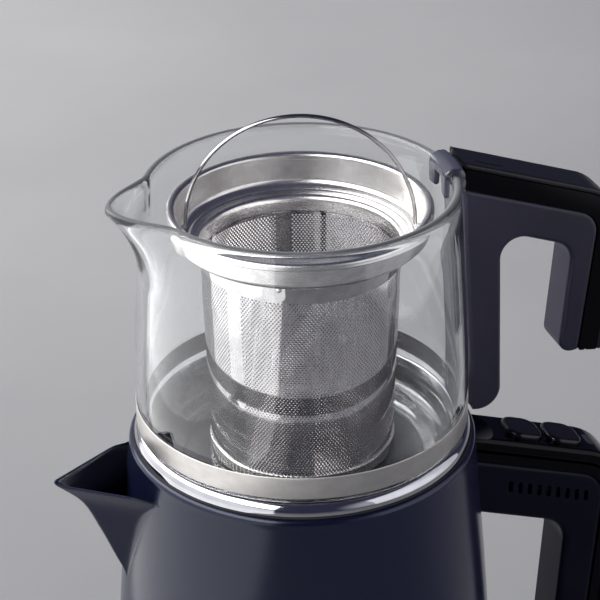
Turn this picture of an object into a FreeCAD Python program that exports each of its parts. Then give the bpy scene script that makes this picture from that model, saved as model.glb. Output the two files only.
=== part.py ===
import FreeCAD, Part
import os, math
from FreeCAD import Vector as V

# Electric tea maker: a kettle that stands on a round power base, with a glass
# tea pot nested in the kettle's collar and a lift-out infuser in the pot.
# Millimetres. +Z up. The origin is on the table, on the kettle's own axis.
# +X points to the two handles, -X to the two pouring lips.

os.makedirs("parts", exist_ok=True)

# ---------------------------------------------------------------- dimensions
Z0 = 205.0            # height of the top edge of the steel band on the pot
BAND_R = 64.0         # outer radius of the band
BAND_H = 8.8
BAND_T = 0.6
POT_RIM_Z = Z0 + 87.0
POT_RIM_R = 59.0      # outer radius of the glass rim
POT_WALL = 3.0
LIP_REACH = 13.4      # how far the glass lip stands out past the rim
FOOT_R = 59.9         # glass foot below the band
FOOT_Z = Z0 - 24.0    # underside of the foot
COLLAR_R = 65.2
COLLAR_Z = Z0 - 11.2  # top of the chrome collar
WELL_R = 60.6         # well that takes the foot
LEDGE_Z = Z0 - 24.5   # top of the ledge the foot stands on
MOUTH_R = 47.0        # steam and filling mouth in the ledge
SHELL_TOP_R = 67.2
SHELL_TOP_Z = Z0 - 16.4
SHELL_BOT_R = 79.0
SHELL_BOT_Z = 36.0
SHELL_T = 1.2
SPOUT_TOP_Z = Z0 - 24.1
SPOUT_TIP_X = -101.0
SPOUT_T = 1.3
SPOUT_KEEL_Z = Z0 - 71.0
HALF_POT = 9.0        # half width of the pot handle
HALF_KET = 11.5       # half width of the kettle handle
SLOPE_POT = 0.3404    # fall of the pot handle's arm per mm outward
SLOPE_KET = 0.3200    # fall of the kettle handle's arm per mm outward
BAIL_ANGLE = -16.5    # direction of the bail's pivot axis about Z, degrees
BAIL_R = 42.4
BAIL_WIRE_R = 0.95
BAIL_PIVOT_Z = Z0 + 69.4
BAIL_BEND = 1.5
BASKET_TOP_Z = Z0 + 64.5
BASKET_BOT_Z = Z0 - 20.4
BUTTON_TRAVEL = 1.0

def save(shape, name):
    if isinstance(shape, (list, tuple)):
        shape = Part.makeCompound(list(shape))
    n = len(shape.Solids)
    ok = shape.isValid()
    print("%-26s solids %2d valid %s volume %.2f cm3" % (name, n, ok, shape.Volume / 1000.0))
    if n == 1 and shape.ShapeType != "Solid":
        shape = shape.Solids[0]
    shape.exportStep("parts/%s.step" % name)
    return shape

# ---------------------------------------------------------------- helpers
def rp(r, z):
    return V(r, 0, z)

def revolve(pts, angle=360.0):
    """Closed profile in (radius, height); ("a", mid, end) makes an arc."""
    edges = []
    start = rp(*pts[0])
    cur = start
    for p in pts[1:]:
        if p[0] == "a":
            m, e = rp(*p[1]), rp(*p[2])
            edges.append(Part.Arc(cur, m, e).toShape())
            cur = e
        else:
            e = rp(*p)
            edges.append(Part.LineSegment(cur, e).toShape())
            cur = e
    if (cur - start).Length > 1e-7:
        edges.append(Part.LineSegment(cur, start).toShape())
    face = Part.Face(Part.Wire(edges))
    s = face.revolve(V(0, 0, 0), V(0, 0, 1), angle)
    return s if s.Volume > 0 else s.reversed()

def offset_line(pts, d):
    """Parallel polyline at distance d to the left of its direction."""
    out = []
    n = len(pts)
    for i in range(n):
        dirs = []
        if i > 0:
            a, b = pts[i - 1], pts[i]
            l = math.hypot(b[0] - a[0], b[1] - a[1])
            dirs.append(((b[0] - a[0]) / l, (b[1] - a[1]) / l))
        if i < n - 1:
            a, b = pts[i], pts[i + 1]
            l = math.hypot(b[0] - a[0], b[1] - a[1])
            dirs.append(((b[0] - a[0]) / l, (b[1] - a[1]) / l))
        if len(dirs) == 1:
            nx, ny = -dirs[0][1], dirs[0][0]
            out.append((pts[i][0] + nx * d, pts[i][1] + ny * d))
        else:
            n1 = (-dirs[0][1], dirs[0][0])
            n2 = (-dirs[1][1], dirs[1][0])
            bx, by = n1[0] + n2[0], n1[1] + n2[1]
            l = math.hypot(bx, by)
            bx, by = bx / l, by / l
            c = bx * n1[0] + by * n1[1]
            out.append((pts[i][0] + bx * d / c, pts[i][1] + by * d / c))
    return out

def sheet(pts, t):
    """Thin spun sheet: the polyline is its outer (left-hand) face."""
    return revolve(pts + offset_line(pts, -t)[::-1])

def rounded(pts, radii, plane="xz"):
    """Closed wire through the points with rounded corners."""
    n = len(pts)
    mk = (lambda p: V(p[0], 0, p[1])) if plane == "xz" else (lambda p: V(p[0], p[1], 0))
    segs = []
    for i in range(n):
        p0, p1, p2 = pts[i - 1], pts[i], pts[(i + 1) % n]
        r = radii[i] if isinstance(radii, (list, tuple)) else radii
        a = (p0[0] - p1[0], p0[1] - p1[1])
        b = (p2[0] - p1[0], p2[1] - p1[1])
        la, lb = math.hypot(*a), math.hypot(*b)
        a = (a[0] / la, a[1] / la)
        b = (b[0] / lb, b[1] / lb)
        cosv = max(-1, min(1, a[0] * b[0] + a[1] * b[1]))
        half = math.acos(cosv) / 2
        if r <= 0 or half > math.pi / 2 - 1e-4:
            segs.append((p1, None, p1))
            continue
        d = r / math.tan(half)
        s = (p1[0] + a[0] * d, p1[1] + a[1] * d)
        e = (p1[0] + b[0] * d, p1[1] + b[1] * d)
        bis = (a[0] + b[0], a[1] + b[1])
        lbi = math.hypot(*bis)
        bis = (bis[0] / lbi, bis[1] / lbi)
        dist = r / math.sin(half)
        m = (p1[0] + bis[0] * (dist - r), p1[1] + bis[1] * (dist - r))
        segs.append((s, m, e))
    edges = []
    for i in range(n):
        s, m, e = segs[i]
        if m is not None:
            edges.append(Part.Arc(mk(s), mk(m), mk(e)).toShape())
        nxt = segs[(i + 1) % n][0]
        if math.hypot(nxt[0] - e[0], nxt[1] - e[1]) > 1e-6:
            edges.append(Part.LineSegment(mk(e), mk(nxt)).toShape())
    return Part.Wire(edges)

def slab(pts, radii, y0, y1):
    """XZ outline pulled along Y from y0 to y1."""
    f = Part.Face(rounded(pts, radii))
    f.translate(V(0, y0, 0))
    s = f.extrude(V(0, y1 - y0, 0))
    return s

def plate(pts, radii, z0, z1):
    """XY outline pulled along Z from z0 to z1."""
    f = Part.Face(rounded(pts, radii, "xy"))
    f.translate(V(0, 0, z0))
    return f.extrude(V(0, 0, z1 - z0))

def ease(shape, r, y_abs, pick=None):
    """Rounds the edges that lie in the two side planes y = +-y_abs."""
    es = []
    for e in shape.Edges:
        ys = [v.Point.y for v in e.Vertexes]
        b = e.BoundBox
        if abs(b.YMax - b.YMin) < 1e-6 and abs(abs(b.YMax) - y_abs) < 1e-6:
            if pick is None or pick(b):
                es.append(e)
    try:
        s = shape.makeFillet(r, es)
        if s.isValid() and s.Volume > 0:
            return s
    except Exception:
        pass
    print("   edge rounding left out")
    return shape

def cyl(r, h, base, axis=V(0, 0, 1)):
    return Part.makeCylinder(r, h, base, axis)

def ring(r0, r1, z0, z1):
    return cyl(r1, z1 - z0, V(0, 0, z0)).cut(cyl(r0, z1 - z0 + 2, V(0, 0, z0 - 1)))

def box(x0, x1, y0, y1, z0, z1):
    return Part.makeBox(x1 - x0, y1 - y0, z1 - z0, V(x0, y0, z0))

def screw(pos, axis, r_head, h_head, r_shank, length):
    """Pan head screw; pos is under the head, axis points from shank to head."""
    a = V(*axis)
    a.normalize()
    p = V(*pos)
    head = cyl(r_head, h_head, p, a)
    shank = cyl(r_shank, length, p - a * length, a)
    slot_depth = h_head * 0.45
    s = head.fuse(shank)
    # cross recess
    ref = V(0, 0, 1) if abs(a.z) < 0.9 else V(1, 0, 0)
    u = a.cross(ref)
    u.normalize()
    w = a.cross(u)
    for d in (u, w):
        o = a.cross(d)
        bx = Part.makeBox(r_head * 1.2, r_head * 0.28, slot_depth + 1)
        m = FreeCAD.Matrix(d.x, o.x, a.x, 0, d.y, o.y, a.y, 0, d.z, o.z, a.z, 0, 0, 0, 0, 1)
        bx.translate(V(-r_head * 0.6, -r_head * 0.14, h_head - slot_depth))
        bx = bx.transformGeometry(m)
        bx.translate(p)
        s = s.cut(bx)
    return s.removeSplitter()

def loop(radius_of, z, n=60, zf=None):
    """Closed smooth wire at height z with radius_of(angle)."""
    pts = []
    for i in range(n):
        a = 2 * math.pi * i / n
        r = radius_of(a)
        pts.append(V(r * math.cos(a), r * math.sin(a), z))
    c = Part.BSplineCurve()
    c.interpolate(pts, PeriodicFlag=True)
    return Part.Wire([c.toShape()])

# =================================================================== BASE
base_housing = revolve([
    (82.0, 3.0), ("a", (83.2, 6.0), (83.0, 9.5)), (81.2, 15.5), ("a", (80.0, 18.3), (77.0, 19.4)),
    (71.0, 20.6), (66.0, 20.6), ("a", (64.8, 20.2), (64.2, 19.2)), (63.2, 16.6), (26.0, 16.6),
    ("a", (24.6, 17.2), (24.0, 18.6)), (23.4, 21.6), ("a", (22.8, 22.8), (21.6, 23.2)),
    (13.4, 23.2), (13.4, 20.8), (21.0, 20.8), (21.6, 17.0), (23.0, 14.2), (64.0, 14.2),
    (66.4, 18.2), (71.0, 18.2), (77.0, 17.0), (79.2, 14.6), (80.6, 9.0), (80.6, 3.0)])
# cable opening through the rim at the back, for the inlet gland
base_housing = base_housing.cut(cyl(5.2, 20, V(0, 70, 8.6), V(0, 1, 0)))
save(base_housing, "base_housing")

base_plate = cyl(80.3, 2.2, V(0, 0, 1.4))
base_plate = base_plate.fuse(ring(76.5, 80.3, 3.0, 4.4))
FEET = [(66 * math.cos(math.radians(a)), 66 * math.sin(math.radians(a))) for a in (45, 135, 225, 315)]
SCREWS_B = [(52 * math.cos(math.radians(a)), 52 * math.sin(math.radians(a))) for a in (0, 120, 240)]
for x, y in FEET:
    base_plate = base_plate.cut(cyl(7.0, 0.8, V(x, y, 1.0)))
for x, y in SCREWS_B:
    base_plate = base_plate.fuse(cyl(4.0, 10.4, V(x, y, 3.6)).cut(cyl(1.3, 12, V(x, y, 2))))
    base_plate = base_plate.cut(cyl(2.9, 1.6, V(x, y, 1.0)))
    base_plate = base_plate.cut(cyl(1.6, 4, V(x, y, 1.0)))
base_plate = base_plate.fuse(ring(13.0, 17.0, 3.4, 8.0))
base_plate = base_plate.cut(box(-6.4, 6.4, 70, 82, 3.3, 6))
save(base_plate, "base_bottom_plate")

save([revolve([(0, 0), (6.4, 0), ("a", (6.85, 0.15), (7.0, 0.6)), (7.0, 1.8), (0, 1.8)]).translated(V(x, y, 0)) for x, y in FEET], "base_feet")
save([screw((x, y, 2.6), (0, 0, -1), 2.7, 1.1, 1.25, 9.0) for x, y in SCREWS_B], "base_screws")

# round power post: plastic column with two ring contacts and a centre pin
post = revolve([(0, 3.6), (12.9, 3.6), (12.9, 20.4), (10.4, 20.4), (10.4, 35.0), ("a", (9.9, 36.2), (8.7, 36.6)),
                (7.6, 36.6), (7.6, 26.0), (6.0, 26.0), (6.0, 36.6), (4.2, 36.6), (4.2, 24.0), (0, 24.0)])
save(post, "base_connector_post")
contacts = [ring(6.1, 6.9, 26.05, 35.6), revolve([(0, 24.05), (1.9, 24.05), (1.9, 33.6), ("a", (1.45, 34.7), (0.7, 35.3)), (0, 35.3)])]
save(contacts, "base_contacts")

gland = revolve([(2.6, -9.0), (5.0, -9.0), (5.0, 0.0), (6.6, 0.0), (6.6, 1.4), (5.6, 2.4), (3.4, 2.4), (2.6, 2.4)])
gland.rotate(V(0, 0, 0), V(1, 0, 0), -90)
gland.translate(V(0, 83.3, 8.6))
save(gland, "base_cable_gland")

# =================================================================== SOCKET
# female connector of the kettle; the kettle turns freely around it
socket = revolve([(11.0, 24.0), (17.2, 24.0), (17.2, 25.6), (15.6, 26.4), (15.6, 46.0), (0, 46.0), (0, 40.2),
                  (1.4, 40.2), (1.4, 38.0), (3.4, 38.0), (3.4, 37.4), (11.0, 37.4)])
socket = socket.fuse(ring(17.0, 19.6, 27.2, 29.4).fuse(ring(15.0, 17.4, 27.2, 29.4)))
save(socket, "kettle_socket")

# =================================================================== KETTLE
def shell_r(z):
    """Outer radius of the kettle shell: straight flare that eases towards the foot."""
    pts = [(188.6, 67.2), (160.0, 69.85), (128.3, 72.9), (100.0, 75.2), (72.0, 77.2), (50.0, 78.4), (36.0, 79.0)]
    if z >= pts[0][0]:
        return pts[0][1]
    for (za, ra), (zb, rb) in zip(pts, pts[1:]):
        if z >= zb:
            return rb + (ra - rb) * (z - zb) / (za - zb)
    return pts[-1][1]

def curve_rz(pts):
    c = Part.BSplineCurve()
    c.interpolate([rp(r, z) for r, z in pts])
    return c.toShape()

out_pts = [(67.2, 187.4), (69.85, 160.0), (72.9, 128.3), (75.3, 100.0), (77.25, 72.0), (78.4, 50.0), (79.0, 36.0)]
in_pts = [(r - SHELL_T, z) for r, z in out_pts]
oe = curve_rz(out_pts)
ie = curve_rz(in_pts)
e_top1 = Part.Arc(rp(67.2, 187.4), rp(66.75, 188.35), rp(65.8, 188.7)).toShape()
e_top2 = Part.LineSegment(rp(65.8, 188.7), rp(63.6, 188.7)).toShape()
e_top3 = Part.LineSegment(rp(63.6, 188.7), rp(63.6, 187.5)).toShape()
e_top4 = Part.LineSegment(rp(63.6, 187.5), rp(66.0, 187.4)).toShape()
e_bot = Part.LineSegment(rp(79.0, 36.0), rp(77.8, 36.0)).toShape()
w = Part.Wire(Part.__sortEdges__([oe, e_top1, e_top2, e_top3, e_top4, ie, e_bot]))
shell = Part.Face(w).revolve(V(0, 0, 0), V(0, 0, 1), 360)
if shell.Volume < 0:
    shell = shell.reversed()

# filled shape of the shell's outside, to trim what is attached to it
solid_edges = [curve_rz(out_pts), e_top1, Part.LineSegment(rp(65.8, 188.7), rp(0, 188.7)).toShape(),
               Part.LineSegment(rp(0, 188.7), rp(0, 36)).toShape(), Part.LineSegment(rp(0, 36), rp(79, 36)).toShape()]
core = Part.Face(Part.Wire(Part.__sortEdges__(solid_edges))).revolve(V(0, 0, 0), V(0, 0, 1), 360)
if core.Volume < 0:
    core = core.reversed()
inner_edges = [curve_rz(in_pts), Part.LineSegment(rp(66.0, 187.4), rp(0, 187.4)).toShape(),
               Part.LineSegment(rp(0, 187.4), rp(0, 36)).toShape(), Part.LineSegment(rp(0, 36), rp(77.8, 36)).toShape()]
core_in = Part.Face(Part.Wire(Part.__sortEdges__(inner_edges))).revolve(V(0, 0, 0), V(0, 0, 1), 360)
if core_in.Volume < 0:
    core_in = core_in.reversed()

def vee(z, tip, half, r_tip, back=-56.0):
    """V outline of the spout at height z: apex at x = tip, half width at x = -66."""
    # slope of the side
    L = -66.0 - tip
    hb = half * (back - tip) / L
    pts = [(back, -hb), (tip, 0.0), (back, hb)]
    w = rounded(pts, [0, r_tip, 0], "xy")
    w.translate(V(0, 0, z))
    return w

spout_rows = [(SPOUT_TOP_Z, SPOUT_TIP_X, 23.5, 3.4), (Z0 - 34.0, -90.8, 16.7, 3.2), (Z0 - 48.0, -83.9, 12.0, 2.8),
              (Z0 - 55.5, -80.6, 9.6, 2.3), (Z0 - 64.0, -77.0, 6.4, 1.6), (SPOUT_KEEL_Z - 2.5, -72.4, 2.2, 0.7)]
outer = Part.makeLoft([vee(z, t, h, r) for z, t, h, r in spout_rows], True, True)
k_in = []
for z, t, h, r in spout_rows:
    k_in.append((z, t + SPOUT_T * 1.5, max(h - SPOUT_T * 1.15, 0.8), max(r - SPOUT_T, 0.5)))
z, t, h, r = k_in[0]
k_in[0] = (z + 0.01, t, h, r)
inner = Part.makeLoft([vee(z + (2.0 if i else 0.0), t, h, r) for i, (z, t, h, r) in enumerate(k_in)], True, True)
inner = inner.fuse(Part.Face(vee(SPOUT_TOP_Z, k_in[0][1], k_in[0][2], k_in[0][3])).extrude(V(0, 0, 6)))
# strainer holes through the wall behind the spout
for z, angs in ((Z0 - 40.0, (-7, -3.5, 0, 3.5, 7)), (Z0 - 44.5, (-5.25, -1.75, 1.75, 5.25)), (Z0 - 49.0, (-3.5, 0, 3.5)), (Z0 - 53.5, (-1.75, 1.75))):
    for a in angs:
        aa = math.radians(180 + a)
        shell = shell.cut(cyl(1.7, 12, V(64 * math.cos(aa), 64 * math.sin(aa), z), V(math.cos(aa), math.sin(aa), 0)))
spout = outer.cut(inner).cut(core)
spout = sorted(spout.Solids, key=lambda s: -s.Volume)[0]
shell = shell.fuse(spout)
shell = shell.removeSplitter()
save(shell, "kettle_shell")

# chrome collar: outer convex ring, well and ledge, one spun sheet
collar = revolve([
    (COLLAR_R, 188.75), (COLLAR_R, 189.5), ("a", (64.55, 192.2), (62.5, 193.9)), ("a", (61.7, 193.9), (61.0, 193.2)),
    (60.6, 192.2), (60.6, LEDGE_Z), (MOUTH_R + 1.2, LEDGE_Z), ("a", (MOUTH_R + 0.35, LEDGE_Z - 0.35), (MOUTH_R, LEDGE_Z - 1.2)),
    (MOUTH_R, LEDGE_Z - 3.0), (MOUTH_R + 0.8, LEDGE_Z - 3.0), (MOUTH_R + 0.8, LEDGE_Z - 1.6),
    ("a", (MOUTH_R + 1.0, LEDGE_Z - 1.0), (MOUTH_R + 1.6, LEDGE_Z - 0.8)), (60.6 + 0.8, LEDGE_Z - 0.8), (60.6 + 0.8, 191.9),
    ("a", (61.9, 193.0), (62.5, 193.0)), ("a", (63.9, 191.5), (64.4, 189.2)), (64.4, 188.75)])
save(collar, "kettle_collar")
# rubber seal between collar and shell
seal = revolve([(65.72, 188.75), ("a", (65.8, 189.0), (65.55, 189.2)), (65.25, 189.2), (65.25, 188.75)])
save(seal, "collar_seal")
# clamp ring under the collar that holds it to the shell's inner flange
clamp = ring(61.45, 65.0, 184.4, 187.4)
save(clamp, "collar_clamp_ring")

# kettle floor with its heating element
floor_plate = revolve([(0, 52.0), (60.0, 52.0), (66.0, 52.6), (72.0, 55.0), (76.55, 56.6), (77.0, 61.0), (76.2, 61.0), (75.8, 57.4),
                       (71.6, 56.0), (65.6, 53.7), (60.0, 53.0), (0, 53.0)])
floor_plate = floor_plate.common(core_in)
save(floor_plate, "kettle_floor")
element = Part.makeTorus(44.0, 3.6, V(0, 0, 48.2), V(0, 0, 1), 0, 360, 330)
element = element.cut(box(-60, 60, -60, 60, 51.9, 60))
element.rotate(V(0, 0, 0), V(0, 0, 1), 15)
save(element, "heating_element")
controller = ring(20.2, 27.0, 34.0, 51.0).fuse(plate([(-27, -20), (27, -20), (27, 20), (-27, 20)], 4, 47.0, 51.9).cut(cyl(2, 20, V(0, 0, 40))))
save(controller, "thermal_controller")
probe = cyl(3.2, 5.0, V(0, 34, 46.9)).fuse(cyl(5.0, 1.2, V(0, 34, 45.7)))
save(probe, "water_sensor")

skirt = revolve([
    (79.2, 35.8), (79.4, 26.0), ("a", (79.0, 23.0), (76.6, 21.4)), (75.0, 21.0), (61.0, 21.0),
    (60.4, 21.6), (60.4, 29.6), (59.6, 30.6), (19.9, 30.6), (19.9, 33.4), (61.6, 33.4), (62.8, 32.2), (62.8, 23.4),
    (75.0, 23.4), (76.0, 25.6), (76.0, 42.0), (77.2, 42.0), (77.55, 35.8)])
for a in (30, 150, 270):
    x, y = 68.5 * math.cos(math.radians(a)), 68.5 * math.sin(math.radians(a))
    skirt = skirt.cut(cyl(2.9, 2.6, V(x, y, 20.5))).cut(cyl(1.5, 12, V(x, y, 20)))
save(skirt, "kettle_skirt")
lugs = []
scr = []
for a in (30, 150, 270):
    x, y = 68.5 * math.cos(math.radians(a)), 68.5 * math.sin(math.radians(a))
    b = cyl(4.0, 28.6, V(x, y, 23.4)).cut(cyl(1.25, 14, V(x, y, 23)))
    b = b.cut(revolve([(0, 52.0), (60.0, 52.0), (66.0, 52.6), (72.0, 55.0), (76.55, 56.6), (77.0, 61.0), (77, 80), (0, 80)]))
    lugs.append(b)
    scr.append(screw((x, y, 23.1), (0, 0, -1), 2.7, 1.6, 1.2, 11.0))
save(lugs, "skirt_posts")
save(scr, "skirt_screws")

# ------------------------------------------------------------- kettle handle
def ktop(x):
    return 177.3 - SLOPE_KET * (x - 66.0)

K_END = 63.0
ktl = [(64.0, ktop(64.0)), (137.5, ktop(137.5) + 0.6), (131.0, K_END)]        # outer line, elbow rounded
ln_cover = offset_line(ktl, -6.0)
ln_bezel = offset_line(ktl, -10.0)
R_EL = 24.0

def band_between(l0, l1, r0, r1, y):
    pts = [l0[0], l0[1], l0[2], l1[2], l1[1], l1[0]]
    return slab(pts, [0, r0, 0.8, 0.8, r1, 0], -y, y)

k_cover = band_between(ktl, ln_cover, R_EL, R_EL - 6, HALF_KET)
k_cover = ease(k_cover, 2.2, HALF_KET, lambda b: b.ZMax > 64 and b.ZMin > 60 and b.DiagonalLength > 8 and (b.ZMax > ln_cover[1][1] + 3 or b.XMax > ln_cover[1][0] + 2))
k_bezel = band_between(ln_cover, ln_bezel, R_EL - 6, R_EL - 10, HALF_KET)
grip_in_top = (108.5, ktop(108.5) - 35.0)
body_pts = [ln_bezel[0], ln_bezel[1], ln_bezel[2], (106.5, K_END), (110.0, ktop(110.0) - 35.2), (64.0, ktop(64.0) - 35.2)]
k_body = slab(body_pts, [0, R_EL - 10, 3.0, 8.0, 13.0, 0], -HALF_KET, HALF_KET)
k_body = ease(k_body, 2.4, HALF_KET, lambda b: b.DiagonalLength > 6 and (b.ZMax < ln_bezel[1][1] - 30 or b.XMax < 112))
root_gap = core
k_cover = k_cover.cut(root_gap)
k_bezel = k_bezel.cut(root_gap)
k_body = k_body.cut(root_gap)

# hollow in the arm for the switch board and loudspeaker
cav = slab(offset_line([(76.0, ktop(76.0) - 10.0), (120.0, ktop(120.0) - 10.0)], -0.0) +
           [(120.0, ktop(120.0) - 29.0), (76.0, ktop(76.0) - 32.0)], 1.0, -HALF_KET + 2.2, HALF_KET - 2.2)
k_body = k_body.cut(cav)
# sound slots through the near wall
slots = []
for i in range(9):
    x = 84.3 + 4.2 * i
    zc = ktop(x) - 20.6
    s = slab([(x - 0.95, zc - 2.6), (x + 0.95, zc - 2.6), (x + 0.95, zc + 2.6), (x - 0.95, zc + 2.6)], 0.9, -HALF_KET - 1, -HALF_KET + 4)
    slots.append(s)
for s in slots:
    k_body = k_body.cut(s)

# button wells in the cover, tilted with the arm
tilt = math.degrees(math.atan(SLOPE_KET))
BTN = [("boil", 92.2), ("tea", 109.6)]

def stadium(half_len, half_wid, r, h0, h1):
    p = [(-half_len, -half_wid), (half_len, -half_wid), (half_len, half_wid), (-half_len, half_wid)]
    return plate(p, r, h0, h1)

def on_arm(shape, x, drop=0.0):
    """Puts a shape modelled around the origin onto the arm's top line at x."""
    s = shape.copy()
    s.rotate(V(0, 0, 0), V(0, 1, 0), tilt)
    s.translate(V(x, 0, ktop(x)) - V(math.sin(math.radians(tilt)), 0, math.cos(math.radians(tilt))) * drop)
    return s

for nm, x in BTN:
    k_cover = k_cover.cut(on_arm(stadium(8.3, 8.3, 6.2, -8, 3), x))
    k_cover = k_cover.cut(on_arm(stadium(8.6, 9.7, 6.6, -8, -2.8), x))
    k_bezel = k_bezel.cut(on_arm(stadium(7.4, 6.6, 4.0, -14, 3), x))
# small window for the indicator behind the buttons
k_cover = k_cover.cut(on_arm(stadium(1.9, 4.2, 1.85, -8, 3), 122.3))
k_bezel = k_bezel.cut(on_arm(stadium(1.9, 4.2, 1.85, -14, 3), 122.3))
# thumb scoop at the root of the cover
scoop = Part.makeSphere(30.0, V(73.0, 0, ktop(73.0) + 27.6))
k_cover = k_cover.cut(scoop)
save(k_cover.removeSplitter(), "kettle_handle_cover")
save(k_bezel.removeSplitter(), "kettle_handle_trim")

for i, (nm, x) in enumerate(BTN):
    cap = stadium(8.0, 8.0, 5.9, -3.4, 2.6)
    es = [e for e in cap.Edges if e.BoundBox.ZMin > 2.5]
    cap = cap.makeFillet(1.5, es)
    foot = stadium(3.0, 3.0, 2.0, -7.4, -3.4)
    flange = stadium(8.2, 9.2, 6.4, -3.9, -3.1)
    save(on_arm(cap.fuse(foot).fuse(flange).removeSplitter(), x), "%s_button" % nm)
    dome = revolve([(0, -10.2), (3.6, -10.2), (3.6, -9.6), (2.2, -7.75), (0, -7.75)])
    dome = dome.cut(revolve([(0, -10.3), (2.6, -10.3), (1.5, -8.6), (0, -8.6)]))
    save(on_arm(dome, x), "%s_button_dome" % nm)
sw_board = Part.makeBox(42.4, 15.4, 1.4, V(-21.9, -7.7, -13.4))
sw_board = on_arm(sw_board, 101.5)
switches = [on_arm(box(-4.2, 4.2, -4.2, 4.2, -12.0, -10.25), x) for nm, x in BTN]
bd = sw_board
for s in switches:
    bd = bd.fuse(s)
save(bd.removeSplitter(), "switch_board")
lens = on_arm(stadium(1.7, 4.0, 1.65, -9.8, 0.25), 122.3)
save(lens, "indicator_lens")
spk = Part.makeCylinder(7.2, 4.0, V(103.0, -HALF_KET + 2.5, ktop(103.0) - 22.3), V(0, 1, 0))
spk = spk.fuse(Part.makeCylinder(4.4, 4.6, V(103.0, -HALF_KET + 6.4, ktop(103.0) - 22.3), V(0, 1, 0)))
save(spk, "loudspeaker")
# bracket welded to the shell that carries the handle, inside its root
br = box(60, 84, -7.0, 7.0, 146.0, 149.0).fuse(box(60, 73.4, -7.0, 7.0, 146.0, 160.0)).cut(core)
hole_x = 79.0
br = br.cut(cyl(1.6, 10, V(hole_x, 0, 143)))
pocket = box(60, 84.4, -7.3, 7.3, 145.7, 160.3)
k_body = k_body.cut(pocket)
k_body = k_body.cut(cyl(1.7, 20, V(hole_x, 0, 128))).cut(cyl(3.0, 5.75, V(hole_x, 0, ktop(hole_x) - 39.0)))
save(k_body.removeSplitter(), "kettle_handle_body")
save(br.removeSplitter(), "kettle_handle_bracket")
save([screw((hole_x, 0, ktop(hole_x) - 33.4), (0, 0, -1), 2.7, 1.8, 1.5, 12.5)], "kettle_handle_screw")

# =================================================================== POT
def lip(a, w):
    """Lip shape around the rim, 1 at the -X side, fading over w degrees."""
    d = abs((math.degrees(a) % 360.0) - 180.0)
    t = d / w
    if t >= 1:
        return 0.0
    sharp = max(0.0, 1 - t) ** 2 * (1 + 2 * t)
    return sharp

g_out = [(181.0, 53.0), (181.25, 55.6), (182.4, 58.0), (184.4, 59.4), (187.0, 59.9), (192.0, 59.9), (194.6, 60.6), (197.0, 62.2),
         (199.6, 63.2), (204.0, 63.4), (211.0, 63.75), (218.0, 63.6), (232.0, 62.9), (248.0, 61.9), (260.0, 61.1), (266.0, 60.7),
         (272.0, 60.3), (277.0, 59.95), (281.0, 59.6), (284.5, 59.3), (287.5, 59.2), (289.6, 59.2), (291.0, 58.8), (291.8, 58.0), (292.0, 57.2)]
g_in = [(184.2, 50.0), (184.5, 52.6), (185.8, 54.8), (188.0, 56.2), (191.0, 56.9), (195.0, 57.9), (198.0, 59.4), (201.0, 60.2),
        (205.0, 60.5), (211.0, 60.75), (218.0, 60.6), (232.0, 59.9), (248.0, 58.9), (260.0, 58.1), (266.0, 57.7), (272.0, 57.3),
        (277.0, 56.95), (281.0, 56.4), (284.5, 55.7), (287.5, 55.2), (289.6, 55.1), (291.0, 55.5), (291.8, 56.3), (292.0, 57.15), (293.0, 57.15)]

def lip_amp(z):
    s = (z - 260.0) / (290.0 - 260.0)
    if s <= 0:
        return 0.0
    return LIP_REACH * min(1.0, s) ** 1.9

def glass_loop(r, z):
    amp = lip_amp(z)
    return loop(lambda a: r + amp * lip(a, 33.0 - 7.0 * min(1.0, max(0.0, (z - 260.0) / 30.0))), z)

g_solid = Part.makeLoft([glass_loop(r, z) for z, r in g_out], True, True)
g_hollow = Part.makeLoft([glass_loop(r, z) for z, r in g_in], True, True)
glass = g_solid.cut(g_hollow)
save(glass, "pot_glass")

gap_w = 1.2
band = ring(BAND_R - BAND_T, BAND_R, Z0 - BAND_H, Z0).cut(box(60, 66, -gap_w / 2, gap_w / 2, Z0 - 20, Z0 + 5))
save(band, "pot_band")
bracket = box(60, 67.6, -6.0, 6.0, Z0 - 7.8, Z0 - 1.0).cut(cyl(BAND_R + 0.02, 40, V(0, 0, Z0 - 20)))
bracket = bracket.cut(cyl(1.5, 12, V(60, 0, Z0 - 4.4), V(1, 0, 0)))
save(bracket, "band_bracket")

def ptop(x):
    return 295.35 - SLOPE_POT * (x - 60.5)

P_END = 207.0
ptl = [(61.4, ptop(61.4)), (128.0, ptop(128.0) + 0.6), (121.5, P_END)]
pl_cover = offset_line(ptl, -2.3)
pl_mid = offset_line(ptl, -7.2)
pl_trim = offset_line(ptl, -10.0)
R_EP = 20.0
p_cover = band_between(ptl, pl_cover, R_EP, R_EP - 2.3, HALF_POT)
p_cover = ease(p_cover, 1.0, HALF_POT)
p_trim = band_between(pl_cover, pl_mid, R_EP - 2.3, R_EP - 7.2, HALF_POT - 0.15)
p_trim2 = band_between(pl_mid, pl_trim, R_EP - 7.2, R_EP - 10.0, HALF_POT - 0.15)
pb = [(61.0, pl_trim[0][1] + (pl_trim[0][0] - 61.0) * SLOPE_POT), pl_trim[1], pl_trim[2], (103.0, P_END), (106.5, 254.3),
      (76.6, 264.4), (79.6, 186.6), (66.2, 188.2), (66.0, 211.0)]
p_body = slab(pb, [0.6, R_EP - 10.0, 0.8, 5.0, 9.0, 8.0, 9.0, 1.0, 6.0], -HALF_POT, HALF_POT)
p_body = ease(p_body, 1.8, HALF_POT)
# pocket at the foot of the spine for the band bracket, and the screw's seat
p_body = p_body.cut(box(60, 67.9, -6.3, 6.3, Z0 - 8.1, Z0 - 0.7))
p_body = p_body.cut(cyl(1.7, 30, V(62, 0, Z0 - 4.4), V(1, 0, 0)))
p_body = p_body.cut(cyl(3.1, 10, V(75.4, 0, Z0 - 4.4), V(1, 0, 0)))
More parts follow.
